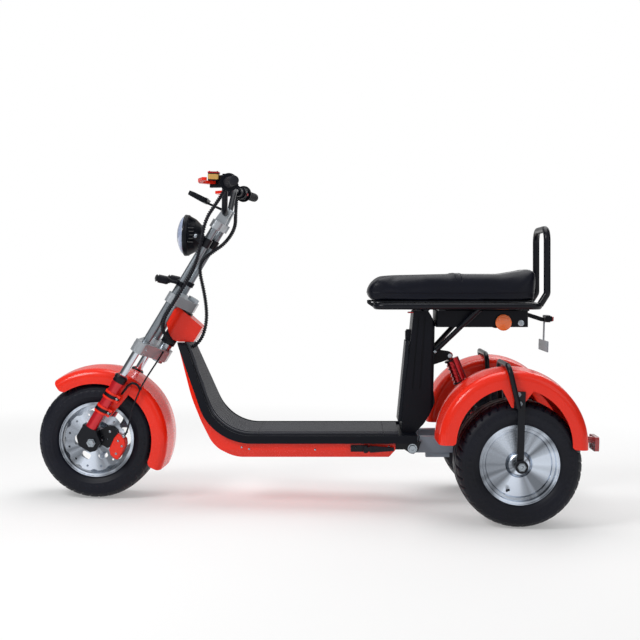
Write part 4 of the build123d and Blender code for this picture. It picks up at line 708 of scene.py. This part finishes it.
seat_pad = cushion_copy()
rest_points = read_points(seat_pad.data)
print("seat pad points", len(rest_points))

# %% [markdown]
# Pressure pushes the cloth out along its normals while the stiff threads hold it, which takes twenty
# frames. The lowest 4 mm of the pad, which sits on its pan, doesn't move, and the swell grows over the
# next 20 mm. At the end the pad is eased and its faces are split once, so that its outline is smooth.

# %% Swell the cushion
SWELL_FRAMES = 20
PRESSURE = 4
COVER_MASS = 0.3
COVER_TENSION = 20
CUSHION_LOW = 743.0
HELD, EASED_IN = 4.0, 20.0
LAST_SHARE, LAST_TIMES = 0.5, 24
cloth = seat_pad.modifiers.new("swell", "CLOTH")
cloth.settings.use_pressure = True
cloth.settings.uniform_pressure_force = PRESSURE
cloth.settings.mass = COVER_MASS
cloth.settings.tension_stiffness = COVER_TENSION
cloth.settings.effector_weights.gravity = 0
cloth.point_cache.frame_start = 1
cloth.point_cache.frame_end = SWELL_FRAMES
for number in range(1, SWELL_FRAMES + 1):
    scene.frame_set(number)
settle(seat_pad)
scene.frame_set(1)
move = read_points(seat_pad.data) - rest_points
length = np.linalg.norm(move, axis=1, keepdims=True)
move *= np.minimum(1, CUSHION_SWELL / np.maximum(length, 1e-9))
move *= ramp_up(rest_points @ DECK_UP, MM * (CUSHION_LOW + HELD), MM * EASED_IN)[:, None]
write_points(seat_pad.data, rest_points + move)
ease = seat_pad.modifiers.new("ease", "SMOOTH")
ease.factor = LAST_SHARE
ease.iterations = LAST_TIMES
finer = seat_pad.modifiers.new("finer", "SUBSURF")
finer.levels = finer.render_levels = 1
settle(seat_pad)
print("largest swell, mm", round(float(np.linalg.norm(move, axis=1).max()) * 1000, 1))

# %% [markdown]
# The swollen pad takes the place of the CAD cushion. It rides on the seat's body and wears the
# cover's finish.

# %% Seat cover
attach(seat_pad, "seat")
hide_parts("seat_cushion")
seat_pad.data.materials.clear()
seat_pad.data.materials.append(finishes["leather"])
seat_pad.data.shade_smooth()
print("seat pad faces", len(seat_pad.data.polygons))

# %% [markdown]
# The cover's top panel is sewn to its sides with a welt, a thin covered cord. Two seams close to each
# other cross the middle of the top. These are laid by rays that drop onto the swollen pad, so that they
# follow its crown, and the welt by rays that run from inside the pad out to its sides. A line worked out
# by hand would sink into the foam.

# %% Seams and welt
SEAT_MIDDLE = 515
SEAM_HALF_WIDTH = 134
CROSS_SEAMS = ((534, 10), (556, 8))
# a seam's rays fall from a height and a wider line to a lower and narrower one, and the welt's rays run
# from a line inside the pad to an oval round it
SEAM_RAY_FROM, SEAM_RAY_AIM = (960, 1.25), (CUSHION_LOW + 40, 0.9)
WELT_RAY_FROM, WELT_RAY_AIM = (215, CUSHION_LOW + 26), (400, CUSHION_LOW + 30, 260)
SEAM_RADIUS, WELT_RADIUS = 1.6, 2.2


def drop_on(piece, line, from_point):
    """Where the ray from each start through its point of the line first meets the piece."""
    hits = []
    for start, aim in zip(from_point, line):
        found, place, _, _ = piece.ray_cast(Vector(start), Vector(aim) - Vector(start))
        if found:
            hits.append(place)
    return np.array(hits)


seams = []
for u_top, bow in CROSS_SEAMS:
    y = np.linspace(-SEAM_HALF_WIDTH, SEAM_HALF_WIDTH, 60)
    u = u_top - bow * (1 - (y / SEAM_HALF_WIDTH) ** 2)
    above = deck_point(u, SEAM_RAY_FROM[0], y * SEAM_RAY_FROM[1])
    line = drop_on(seat_pad, deck_point(u, SEAM_RAY_AIM[0], y * SEAM_RAY_AIM[1]), above)
    seams.append(swept(rounded(line, 3, 80), SEAM_RADIUS, 8))
angle = np.linspace(0, 2 * np.pi, 120, endpoint=False)
length, height, width = WELT_RAY_AIM
outside = deck_point(SEAT_MIDDLE + length * np.cos(angle), height, width * np.sin(angle))
inside = deck_point(SEAT_MIDDLE + WELT_RAY_FROM[0] * np.cos(angle), WELT_RAY_FROM[1], 0)
welt = rounded(drop_on(seat_pad, inside, outside), 4, 240, closed=True)
seams.append(swept(np.vstack([welt, welt[:2]]), WELT_RADIUS, 8))
make("seat_seams", seams, "seat", "leather")
print("seams", len(seams))

# %% [markdown]
# ## 7. Cables
# Three cords are held on the fork: the brake hose, and a bundle of wires from each end of the bar. Each
# is a NURBS curve, which eases past the control points between its ends without quite touching them, as
# a stiff hose does between its clips. The bundles wear a wound plastic spiral, whose radius rises and
# falls as a wave of the length minus the angle.

# %% Routes in the steering frame
HOSE = [(54.7, -430.4, -119), (56, -408, -123), (46, -372, -128), (32, -336, -128), (23, -288, -132),
        (15, -231, -128), (15, -176, -116), (14, -127, -86), (11.7, -101, -66)]
LEFT_BUNDLE = [(-84, 523.1, -182), (-91, 462, -150), (-98, 396, -126), (-72, 322, -123), (-46, 246, -121),
               (-40, 176, -118), (-41, 122, -118), (-42, 71, -118), (-44, 10, -114), (-30, -32, -92),
               (0, -52, -66), (22, -58, -42)]
RIGHT_BUNDLE = [(-84, 523.7, 182), (-52, 470, 146), (-16, 420, 98), (-12, 352, 46), (-34, 296, 4),
                (-46, 250, -24), (-28, 214, -38), (14, 172, -43), (51, 130, -46), (82, 86, -48),
                (101, 38, -48), (104, -6, -44), (92, -34, -34)]


def nurbs_line(name, points, bevel=0.0):
    """A NURBS curve with these control points. Its order and end rule are set after the points."""
    data = bpy.data.curves.new(name, "CURVE")
    data.dimensions = "3D"
    spline = data.splines.new("NURBS")
    spline.points.add(len(points) - 1)
    spline.points.foreach_set("co", np.hstack([points, np.ones((len(points), 1))]).ravel())
    spline.order_u = 3
    spline.use_endpoint_u = True
    spline.resolution_u = 12
    data.bevel_depth = bevel * MM
    data.bevel_resolution = 3
    data.use_fill_caps = True
    piece = bpy.data.objects.new(name, data)
    scene.collection.objects.link(piece)
    return piece


def nurbs_points(name, points):
    """Read the points of a bare NURBS line as Blender works them out."""
    line = nurbs_line(name, points)
    mesh = bpy.data.meshes.new_from_object(line.evaluated_get(bpy.context.evaluated_depsgraph_get()))
    path = read_points(mesh)
    bpy.data.meshes.remove(mesh)
    bpy.data.objects.remove(line)
    return path


print("control points", len(HOSE), len(LEFT_BUNDLE), len(RIGHT_BUNDLE))

# %% [markdown]
# Blender gives a curve its thickness by a round bevel, so the hose needs no mesh of its own, and its
# route can be changed by moving a point.

# %% Brake hose
HOSE_RADIUS = 3.0
hose = nurbs_line("brake_hose", fork_point(*np.array(HOSE).T), HOSE_RADIUS)
hose.data.materials.append(finishes["rubber"])
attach(hose, "fork")
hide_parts("cables")
print("hose radius, mm", HOSE_RADIUS)

# %% [markdown]
# A bent black rod beside the left fork leg ends in an eye that holds the hose. It is the same two tools
# again: a circle carried along an eased line, and a ring turned round the hose's own direction.

# %% Guide of the brake hose
HOSE_GUIDE = [(-33, -322, -108), (-31, -300, -120), (-27, -264, -127), (-20, -246, -129), (-5, -241, -130),
              (9, -244, -131), (18.5, -251, -131)]
GUIDE_RADIUS = 4.2
EYE_PLACE = (16.4, -248, -130.4)
EYE = [(-3, 4.2), (-3, 6.4), (3, 6.4), (3, 4.2)]
guide_line = rounded(fork_point(*np.array(HOSE_GUIDE).T), 8, 90)
hose_way = fork_point(*HOSE[5]) - fork_point(*HOSE[4])
eye = turned(EYE, fork_point(*EYE_PLACE), hose_way, 24, ring=True)
make("hose_guide", [swept(guide_line, GUIDE_RADIUS), eye], "fork", "black_paint")

# %% [markdown]
# The two bundles run from the bar, which turns, to the body, which does not. Each is one fixed piece
# that rides on no body.

# %% Wound bundles
BUNDLE_RADIUS = 7.4
RIDGE_HEIGHT = 1.6
SPIRAL_PITCH = 9.0
BUNDLE_STEP = 1.4
BUNDLE_SIDES = 14
WAVE_STEEP, WAVE_LIFT = 1.6, 0.3


def wound(path):
    """A wound cover: radius = outer - ridge + ridge * wave(length / pitch - angle / turn). The wave is a
    cosine made steeper, lifted and clipped, so the spiral has wide flat ridges with narrow valleys."""
    length = np.linalg.norm(np.diff(path, axis=0), axis=1).sum() / MM
    line = rounded(path, 2, int(length / BUNDLE_STEP))
    along = np.linspace(0, length, len(line))[:, None]
    angle = np.linspace(0, 2 * np.pi, BUNDLE_SIDES, endpoint=False)[None, :]
    wave = np.cos(2 * np.pi * along / SPIRAL_PITCH - angle)
    wave = np.clip(wave * WAVE_STEEP + WAVE_LIFT, -1, 1)
    return swept(line, BUNDLE_RADIUS - RIDGE_HEIGHT + RIDGE_HEIGHT * wave, BUNDLE_SIDES)


for name, route in (("wires_left", LEFT_BUNDLE), ("wires_right", RIGHT_BUNDLE)):
    path = nurbs_points(name, fork_point(*np.array(route).T))
    piece = make(name, [wound(path)], None, "rubber", angle=70)
    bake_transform(piece)
    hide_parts("cables")

# %% [markdown]
# ## 8. Bolts, nuts and washers
# A button bolt is one profile: a domed head with a socket in it. The same profile is turned round many
# axes and joined, so each set of bolts is one piece that rides on one body.

# %% Bolt makers
NUT_SIDES = 48


def button_bolt(place, along, radius):
    """A domed head with a round socket. Heights and radii are shares of its radius, and 1 mm of it is sunk."""
    r = radius
    profile = [(-1, 0), (-1, r * 0.98), (0.12 * r, r), (0.45 * r, 0.86 * r), (0.62 * r, 0.6 * r),
               (0.64 * r, 0.42 * r), (0.2 * r, 0.38 * r), (0.2 * r, 0)]
    return turned(profile, place, along, 18)


def hex_nut(place, along, radius, height, hole=0.5):
    """A six-sided nut: its outline is cos 30 / cos of the angle to the nearest flat's middle, cut back at the
    corners by a circle near both faces. hole is the bore's share of the radius."""
    axis, side, over = square_to(along)
    angle = np.linspace(0, 2 * np.pi, NUT_SIDES, endpoint=False)[None, :]
    flat = np.cos(np.pi / 6) / np.cos((angle + np.pi / 6) % (np.pi / 3) - np.pi / 6)
    rows = [(0, 0.97, True), (0.15, 1, True), (0.85, 1, True), (1, 0.93, True), (1, hole, False),
            (0.5, hole, False)]
    rise, share, hexagon = np.array(rows, float).T[:, :, None]
    size = radius * share * np.where(hexagon > 0, np.minimum(flat, share), 1)
    spoke = np.cos(angle)[..., None] * side + np.sin(angle)[..., None] * over
    points = np.asarray(place) + MM * (height * rise[..., None] * axis + size[..., None] * spoke)
    return surface(points, wrap_columns=True)


print("faces of a nut", len(hex_nut((0, 0, 0), ACROSS, 9, 6)[1]))

# %% [markdown]
# Each row below is a bolt's place in the steering frame, the way that its head faces, and its radius.
# The same rows serve both sides, with y turned over.

# %% Bolts on the fork
AXLE_NUT = (-29.2, -497.4, 167)
fork_bolts = []
for side in (-1, 1):
    rows = [
        # the pinch bolts of the two bands round each leg
        (-33, -378, 151.5, OUT[side], 5), (-33, -320, 151.5, OUT[side], 5),
        # the lower clamp, from behind and from the front
        (-36, -118, 132, FORK_BACK, 5), (-88, -118, 112, -FORK_BACK, 5),
        # the bridge and the yoke
        (-69.5, 86, 62, -FORK_BACK, 5), (-76, 397, 74, -FORK_BACK, 5),
        # the bar's clamps
        (-71, 468, 34, FORK_UP, 4.5), (-47, 468, 34, FORK_UP, 4.5),
        # the lamp's bracket
        (-103, 323, 83.5, OUT[side], 8),
    ]
    fork_bolts += [button_bolt(fork_point(p, q, side * y), way, radius) for p, q, y, way, radius in rows]
    p, q, y = AXLE_NUT
    fork_bolts.append(hex_nut(fork_point(p, q, side * y), OUT[side], 13, 7))
print("bolts and nuts so far", len(fork_bolts))

# %% [markdown]
# The brake caliper sits on the left side only. Three bolts hold its plate and three hold its halves
# together. A nut holds its hose, and a small nipple beside it is there to bleed it.

# %% Bolts of the brake caliper
PLATE_BOLTS, PLATE_FACE = ((-0.779, 0.214), (-0.752, 0.2185), (-0.7215, 0.251)), -0.1192
CALIPER_BOLTS, CALIPER_FACE = ((88, 4), (82, -42), (102, -14)), -0.1282
HOSE_NUT = (52, -433, -119)
NIPPLE = [(0, 5), (10, 5), (12, 3), (20, 3), (21, 0)]
NIPPLE_PLACE, NIPPLE_WAY = (-0.672, -0.118, 0.238), (0.7, 0, 0.7)
axle_x, _, axle_z = WHEELS["front"][1]
for x, z in PLATE_BOLTS:
    fork_bolts.append(button_bolt((x, PLATE_FACE, z), OUT[-1], 6))
for x, z in CALIPER_BOLTS:
    fork_bolts.append(button_bolt((axle_x + x * MM, CALIPER_FACE, axle_z + z * MM), OUT[-1], 4.5))
fork_bolts.append(hex_nut(fork_point(*HOSE_NUT), FORK_UP, 7, 9, hole=0.2))
fork_bolts.append(turned(NIPPLE, NIPPLE_PLACE, NIPPLE_WAY, 14))
make("fork_bolts", fork_bolts, "fork", "steel")

# %% [markdown]
# Two black bands, each with a lug, clamp round each leg, and a dust seal closes the leg's top, where
# the bright stanchion slides in. Bands and seals are profiles turned round the legs' axes, and the lugs
# are blocks.

# %% Clamp bands and dust seals on the fork
LEG_P, LEG_Y = -61, 142
BAND_Q = (-392, -334)
SEAL_Q = -249
BAND = [(8, 20.4), (8, 24.9), (20, 24.9), (20, 20.4)]
SEAL = [(-16, 22.3), (-16, 23.4), (-2, 23.6), (0, 24.6), (5, 24.6), (9, 22), (12, 17.4), (12, 15), (9.6, 15),
        (9.4, 21.4), (-14, 22.3)]
LUG_P, LUG_ABOVE, LUG_HALF = -33, 14, (8.8, 9.2, 6)
bands = []
for side in (-1, 1):
    y = side * LEG_Y
    for q in BAND_Q:
        bands.append(turned(BAND, fork_point(LEG_P, q, y), FORK_UP, 40, ring=True))
        bands.append(block(fork_point(LUG_P, q + LUG_ABOVE, y), (FORK_BACK, ACROSS, FORK_UP), LUG_HALF, 0.3))
    bands.append(turned(SEAL, fork_point(LEG_P, SEAL_Q, y), FORK_UP, 40, ring=True))
make("fork_bands", bands, "fork", "black_paint")
print("bands", len(bands))

# %% [markdown]
# ## 9. Headlight, signals and bar
# The lamp's front is a domed glass in a black ring, and its shell has a row of short vents on each side.
# The glass stays opaque, with a clear coat that mirrors the room. A see-through one would need a
# reflector and a bulb modelled behind it.

# %% Lamp glass, ring and slots
LAMP_AXIS = np.array([-1.0, 0.0, 0.0])
LAMP_FRONT = np.array([-0.488, 0.0, 0.970])
LAMP_DOME = [(0, 0), (0, 71), (5, 70.4), (11, 66), (16.5, 58), (22, 46), (26.5, 32), (29.3, 17), (30.2, 0)]
LAMP_RING = [(-6, 76.3), (-4, 77.2), (0, 77), (2.2, 75.4), (2.6, 73.6), (1.8, 71.6), (0.2, 71), (0.2, 75.8)]
VENT_X, VENT_Y, VENT_SPACING, VENT_HALF = -0.4595, 0.0668, 13, (11, 1.6, 2.2)
UPRIGHT = (np.array([1.0, 0, 0]), ACROSS, np.array([0, 0, 1.0]))
glass = make("lamp_glass", [turned(LAMP_DOME, LAMP_FRONT, LAMP_AXIS, 96)], "fork", "lens", angle=60)
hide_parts("headlight_lens")
make("lamp_ring", [turned(LAMP_RING, LAMP_FRONT, LAMP_AXIS, 96, ring=True)], "fork", "black_paint")
vents = []
for side in (-1, 1):
    for number in range(-2, 3):
        height = LAMP_FRONT[2] + MM * number * VENT_SPACING
        vents.append(block((VENT_X, side * VENT_Y, height), UPRIGHT, VENT_HALF, 0.5))
make("lamp_vents", vents, "fork", "glass")

# %% [markdown]
# The display is a dark pane on a sloping case, left blank, with three soft keys on its rear edge.

# %% Display pane and keys
SLOPE = math.radians(24.5)
CASE_MIDDLE = np.array([-0.440, 0, 1.112])
PANE_ALONG = np.array([math.cos(SLOPE), 0, -math.sin(SLOPE)])
PANE_UP = np.array([math.sin(SLOPE), 0, math.cos(SLOPE)])
PANE_AXES = (PANE_ALONG, ACROSS, PANE_UP)
PANE_LIFT, PANE_HALF = 0.0086, (33, 45, 1.6)
KEY_BACK, KEY_LIFT, KEY_PLACES, KEY_HALF = 0.028, 0.0014, (-0.024, 0, 0.024), (3, 7, 1.2)
pane_at = CASE_MIDDLE + PANE_UP * PANE_LIFT
make("display_pane", [block(pane_at, PANE_AXES, PANE_HALF, 0.3)], "fork", "glass")
keys = [block(pane_at + PANE_ALONG * KEY_BACK + ACROSS * y + PANE_UP * KEY_LIFT, PANE_AXES, KEY_HALF, 0.6)
        for y in KEY_PLACES]
make("display_keys", keys, "fork", "rubber")

# %% [markdown]
# A grip is a rubber tube with narrow ribs, a thick flange at its inner end and a collar next to it. Its
# radius is a function of the place along it: a square wave between the plain ends makes the ribs.

# %% Grips
GRIP_P, GRIP_Q, BAR_END = -47, 562, 368
GRIP_BACK, GRIP_RISE = 0.242, 0.098
GRIP_FROM = 250
GRIP_LENGTH = 123
GRIP_RADIUS, RIB_HEIGHT, RIB_PITCH = 16.6, 0.7, 6.0
RIBS_FROM, RIBS_TO = 30, 116
FLANGE_TO, FLANGE_RADIUS = 8, 19.5
COLLAR_FROM, COLLAR_TO, COLLAR_RADIUS = 19, 25, 18.6
GRIP_INSIDE, GRIP_TIP = [(0, 0), (0, 11.4)], [(124.5, 15.5), (126, 12), (126, 0)]


def grip_point(y):
    """A point of the line through a grip. From the bar's end it goes forwards and down by shares of the
    way in."""
    inboard = BAR_END - abs(y)
    return fork_point(GRIP_P - GRIP_BACK * inboard, GRIP_Q - GRIP_RISE * inboard, y)


def grip_out(side):
    """The grip's direction, outwards."""
    way = grip_point(side * BAR_END) - grip_point(side * GRIP_FROM)
    return way / np.linalg.norm(way)


along = np.linspace(0, GRIP_LENGTH, 170)
ribs = RIB_HEIGHT * np.sign(np.sin(along * 2 * np.pi / RIB_PITCH)) * (along > RIBS_FROM) * (along < RIBS_TO)
radius = np.where(along < FLANGE_TO, FLANGE_RADIUS, GRIP_RADIUS + ribs)
radius = np.where((along > COLLAR_FROM) & (along < COLLAR_TO), COLLAR_RADIUS, radius)
profile = GRIP_INSIDE + list(zip(along, radius)) + GRIP_TIP
grip_parts = [turned(profile, grip_point(side * GRIP_FROM), grip_out(side), 36) for side in (-1, 1)]
grips = make("ribbed_grips", grip_parts, "fork", "rubber", angle=50)
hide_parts("grips")

# %% [markdown]
# Each brake reservoir is a small gold box with a red cap and four screws. Each switch housing carries
# one red button between two dark keys, set round the bar by an angle.

# %% Reservoirs, caps and buttons
PERCH_Y, SWITCH_Y = 190, 226
BOX_AHEAD, BOX_ASIDE, BOX_ABOVE = -44, 16, 5
BOX_LIFT, BOX_HALF = 13, (19.5, 18.5, 12.4)
CAP_LIFT, CAP_HALF = 28.6, (20.6, 19.6, 3.6)
SCREW_X, SCREW_Y, SCREW_LIFT, SCREW_RADIUS = (-14, 14), (-13, 13), 31.8, 2.6
SWITCH_ANGLES = ((0.35, 24), (1.2, 24.4), (2.0, 24))
SWITCH_UP, SWITCH_BACK = np.array([0.55, 0, 0.83]), np.array([0.83, 0, -0.55])
BUTTON = [(-2, 5), (1.6, 5), (2.6, 4.2), (3.0, 0)]
gold, caps, buttons, dark = [], [], [], []
for side in (-1, 1):
    box_at = grip_point(side * PERCH_Y) + MM * np.array([BOX_AHEAD, side * BOX_ASIDE, BOX_ABOVE])
    gold.append(block(box_at + MM * np.array([0, 0, BOX_LIFT]), UPRIGHT, BOX_HALF, 0.22))
    caps.append(block(box_at + MM * np.array([0, 0, CAP_LIFT]), UPRIGHT, CAP_HALF, 0.25))
    for x in SCREW_X:
        for y in SCREW_Y:
            dark.append(button_bolt(box_at + MM * np.array([x, y, SCREW_LIFT]), UPRIGHT[2], SCREW_RADIUS))
    out = grip_out(side)
    for number, (lean, reach) in enumerate(SWITCH_ANGLES):
        way = math.cos(lean) * SWITCH_UP + math.sin(lean) * SWITCH_BACK
        way = way - out * (way @ out)
        way /= np.linalg.norm(way)
        target = buttons if number == 1 else dark
        target.append(turned(BUTTON, grip_point(side * SWITCH_Y) + way * (reach * MM), way, 20))
make("reservoirs", gold, "fork", "gold")
make("reservoir_caps", caps, "fork", "anodised")
make("switch_buttons", buttons, "fork", "anodised")
make("switch_keys", dark, "fork", "rubber")

# %% [markdown]
# The turn signals end in small domed lenses. Each is turned round its arm, whose way is taken from two
# points, so that it sits square on the tip.

# %% Signal lenses
SIGNAL_Y, SIGNAL_ROOT, SIGNAL_TIP = 126, (-73, 145), (-138, 123)
SIGNAL_SUNK = 0.0005
SIGNAL_DOME = [(0, 0), (0, 13), (2, 14.2), (4, 12.5), (6.5, 8), (7.5, 0)]
signal_parts = []
for side in (-1, 1):
    root = fork_point(*SIGNAL_ROOT, side * SIGNAL_Y)
    tip = fork_point(*SIGNAL_TIP, side * SIGNAL_Y)
    way = (tip - root) / np.linalg.norm(tip - root)
    signal_parts.append(turned(SIGNAL_DOME, tip - way * SIGNAL_SUNK, way, 36))
make("signal_lenses", signal_parts, "fork", "glass")

# %% [markdown]
# ## 10. Rear and deck details
# These are the small things that sit on the frame: screws along the skirt, the big pivot bolts, the
# bolts of the mudguard tabs, the shock absorber's rings, the reflectors and lock of the storage box, and
# the tail lens. The wheels' valves come last.

# %% Bolts on the frame
SKIRT_SCREWS, SKIRT_Y = ((-235.6, 219.7), (-208.8, 213.6), (26.9, 211.5), (290, 222)), 152.4
PIVOT, PIVOT_Y = (376.7, 209.6), 120.2
SHOCK_HIGH, SHOCK_LOW, SHOCK_Y = (520, 538), (640, 246), 27.5
AXLE_X, AXLE_Z, AXLE_BOLT_Y, AXLE_NUT_Y = 0.7172, 0.215, 0.4152, 0.4085
UNDER_SEAT, PIVOT_PLATE, PLATE_HOLDER = (462, 556, 81), (340, 240, 120.3), (0.8563, 0.060, 0.59844)
WASHER = [(-1, 0), (-1, 17), (1, 17), (1, 0)]
frame_bolts = []
for side in (-1, 1):
    out = OUT[side]
    for u, w in SKIRT_SCREWS:
        frame_bolts.append(button_bolt(deck_point(u, w, side * SKIRT_Y), out, 4))
    pivot = deck_point(*PIVOT, side * PIVOT_Y)
    frame_bolts += [hex_nut(pivot, out, 14, 8, hole=0.45), turned(WASHER, pivot, out)]
    frame_bolts.append(button_bolt((AXLE_X, side * AXLE_BOLT_Y, AXLE_Z), out, 6.5))
    for u, w in (SHOCK_HIGH, SHOCK_LOW):
        frame_bolts.append(hex_nut(deck_point(u, w, side * SHOCK_Y), out, 9, 6))
    for (u, w, y), radius in ((UNDER_SEAT, 6), (PIVOT_PLATE, 5)):
        frame_bolts.append(button_bolt(deck_point(u, w, side * y), out, radius))
    x, y, z = PLATE_HOLDER
    frame_bolts.append(button_bolt((x, side * y, z), UPRIGHT[0], 5))
make("frame_bolts", frame_bolts, "frame", "steel")

# %% [markdown]
# The nuts at the ends of the axles and on the mudguards' tabs are duller than the other bolts, so they
# are a piece of their own with a satin finish.

# %% Nuts of the axles and mudguard tabs
TAB_NUTS, TAB_Y = ((713.4, 436), (718, 405)), 399.3
dark_bolts = []
for side in (-1, 1):
    out = OUT[side]
    dark_bolts.append(hex_nut((AXLE_X, side * AXLE_NUT_Y, AXLE_Z), out, 15, 6, hole=0.67))
    for u, w in TAB_NUTS:
        dark_bolts.append(hex_nut(deck_point(u, w, side * TAB_Y), out, 9, 6))
make("stay_bolts", dark_bolts, "frame", "satin")

# %% [markdown]
# The shock absorber's body shows a stack of thin red rings between two black collars. One small profile,
# shifted along the absorber's axis, makes them all.

# %% Shock absorber's rings
RING_PLACES = (222, 236, 250, 264, 278)
COLLAR_PLACES = (206, 292)
COLLAR_STRETCH, COLLAR_WIDER = 1.6, 1.2
FIN = [(0, 19.5), (0, 23.4), (1, 24.2), (3, 24.2), (4, 23.4), (4, 19.5)]
low_eye, high_eye = deck_point(*SHOCK_LOW, 0), deck_point(*SHOCK_HIGH, 0)
shock_way = (high_eye - low_eye) / np.linalg.norm(high_eye - low_eye)


def shock_ring(at, stretch=1.0, wider=0.0):
    """The fin's profile at a distance from the lower eye, stretched along the axis and made wider."""
    return turned([(t * stretch + at, r + wider) for t, r in FIN], low_eye, shock_way, 40, ring=True)


make("shock_rings", [shock_ring(at) for at in RING_PLACES], "frame", "anodised")
collars = [shock_ring(at, COLLAR_STRETCH, COLLAR_WIDER) for at in COLLAR_PLACES]
make("shock_collars", collars, "frame", "black_paint")

# %% [markdown]
# A reflector is a moulded dome whose inside is cut into rings of prisms. Here the rings are on the
# outside, shallow enough to read as that pattern: the dome's height gets a small saw added to it.

# %% Round reflectors of the storage box
REFLECTOR_RINGS = 6
REFLECTOR_RADIUS = 28.5
REFLECTOR_RISE, REFLECTOR_FALL, SAW_HEIGHT = 6.5, 3.5, 0.7
PLAIN_FROM = 26
REFLECTOR_PLACE, REFLECTOR_Y = (708, 663), 100.2
REFLECTOR_RIM = [(1.5, 29.5), (-0.5, 29.5), (-0.5, 0)]


def reflector(side):
    """A turned dome: height = rise - fall * share squared + saw, where share is the radius over the whole."""
    radius = np.linspace(0, REFLECTOR_RADIUS, 58)
    share = radius / REFLECTOR_RADIUS
    saw = SAW_HEIGHT * np.abs((share * REFLECTOR_RINGS) % 1 - 0.5) * 2
    rise = REFLECTOR_RISE - REFLECTOR_FALL * share ** 2 + saw * (radius < PLAIN_FROM)
    profile = list(zip(rise, radius)) + REFLECTOR_RIM
    return turned(profile, deck_point(*REFLECTOR_PLACE, side * REFLECTOR_Y), OUT[side], 48)


make("side_reflectors", [reflector(side) for side in (-1, 1)], "frame", "orange_lens", angle=25)

# %% [markdown]
# The storage box has a small key lock, a turned ring round a barrel with a dark slot. The red lever next
# to the column lets the seat go.

# %% Lock and latch lever
LOCK_RING = [(-1, 8.5), (0.5, 11.5), (2.5, 11), (3.2, 8), (2.4, 7.8), (2.4, 0)]
LOCK_BARREL = [(2, 0), (2, 6.6), (4.4, 6.2), (4.4, 0)]
LOCK_PLACE, SLOT_LIFT, SLOT_HALF = (772, 661, -94.8), 0.0046, (4.2, 0.9, 0.6)
LEVER_PLACE, LEVER_HALF = (378, 699, -62), (16, 9, 3.2)
lock_at = deck_point(*LOCK_PLACE)
make("box_lock", [turned(part, lock_at, OUT[-1], 32) for part in (LOCK_RING, LOCK_BARREL)], "frame", "steel")
key_slot = block(lock_at + OUT[-1] * SLOT_LIFT, (DECK_UP, DECK_BACK, OUT[-1]), SLOT_HALF, 0.5)
make("box_lock_slot", [key_slot], "frame", "glass")
lever = block(deck_point(*LEVER_PLACE), (DECK_BACK, ACROSS, DECK_UP), LEVER_HALF, 0.5)
make("seat_latch", [lever], "frame", "anodised")

# %% [markdown]
# The tail lamp's lens is a plain rounded block, wider than it is high, that stands a little out of its
# housing. Its prisms are a cell pattern in the finish, not modelled.

# %% Tail lens
TAIL_PLACE, TAIL_OUT, TAIL_HALF = (874, 674, 0), 0.0277, (27.5, 9.6, 4)
tail_at = deck_point(*TAIL_PLACE) + TAIL_OUT * UPRIGHT[0]
tail = block(tail_at, (ACROSS, UPRIGHT[2], UPRIGHT[0]), TAIL_HALF, 0.4)
make("tail_lens", [tail], "frame", "red_lens")

# %% [markdown]
# A tyre valve is a short rubber stem with a cap. It leans out of the rim and towards the axle, so that
# a pump reaches it, and it turns with its wheel.

# %% Valves on the wheels
VALVE = [(-6, 0), (-6, 4.2), (3, 4), (4, 3), (14, 3), (15, 3.9), (23, 3.9), (24, 3), (24, 0)]
VALVE_LEAN = 0.35


def valve(wheel, x, z, y, side):
    """A valve at x and z from the axle and y to a side, in millimetres. It points outwards plus a share of
    the way to the axle."""
    body, centre = WHEELS[wheel]
    place = np.asarray(centre) + MM * np.array([x, side * y, z])
    way = np.array([-x * VALVE_LEAN, 0, -z * VALVE_LEAN]) / math.hypot(x, z) + OUT[side]
    make(f"{wheel}_valve", [turned(VALVE, place, way, 18)], body, "rubber")


valve("rear_left", -37, -92, 60, -1)
valve("rear_right", -37, -92, 60, 1)
valve("front", 60, 100, 62, 1)
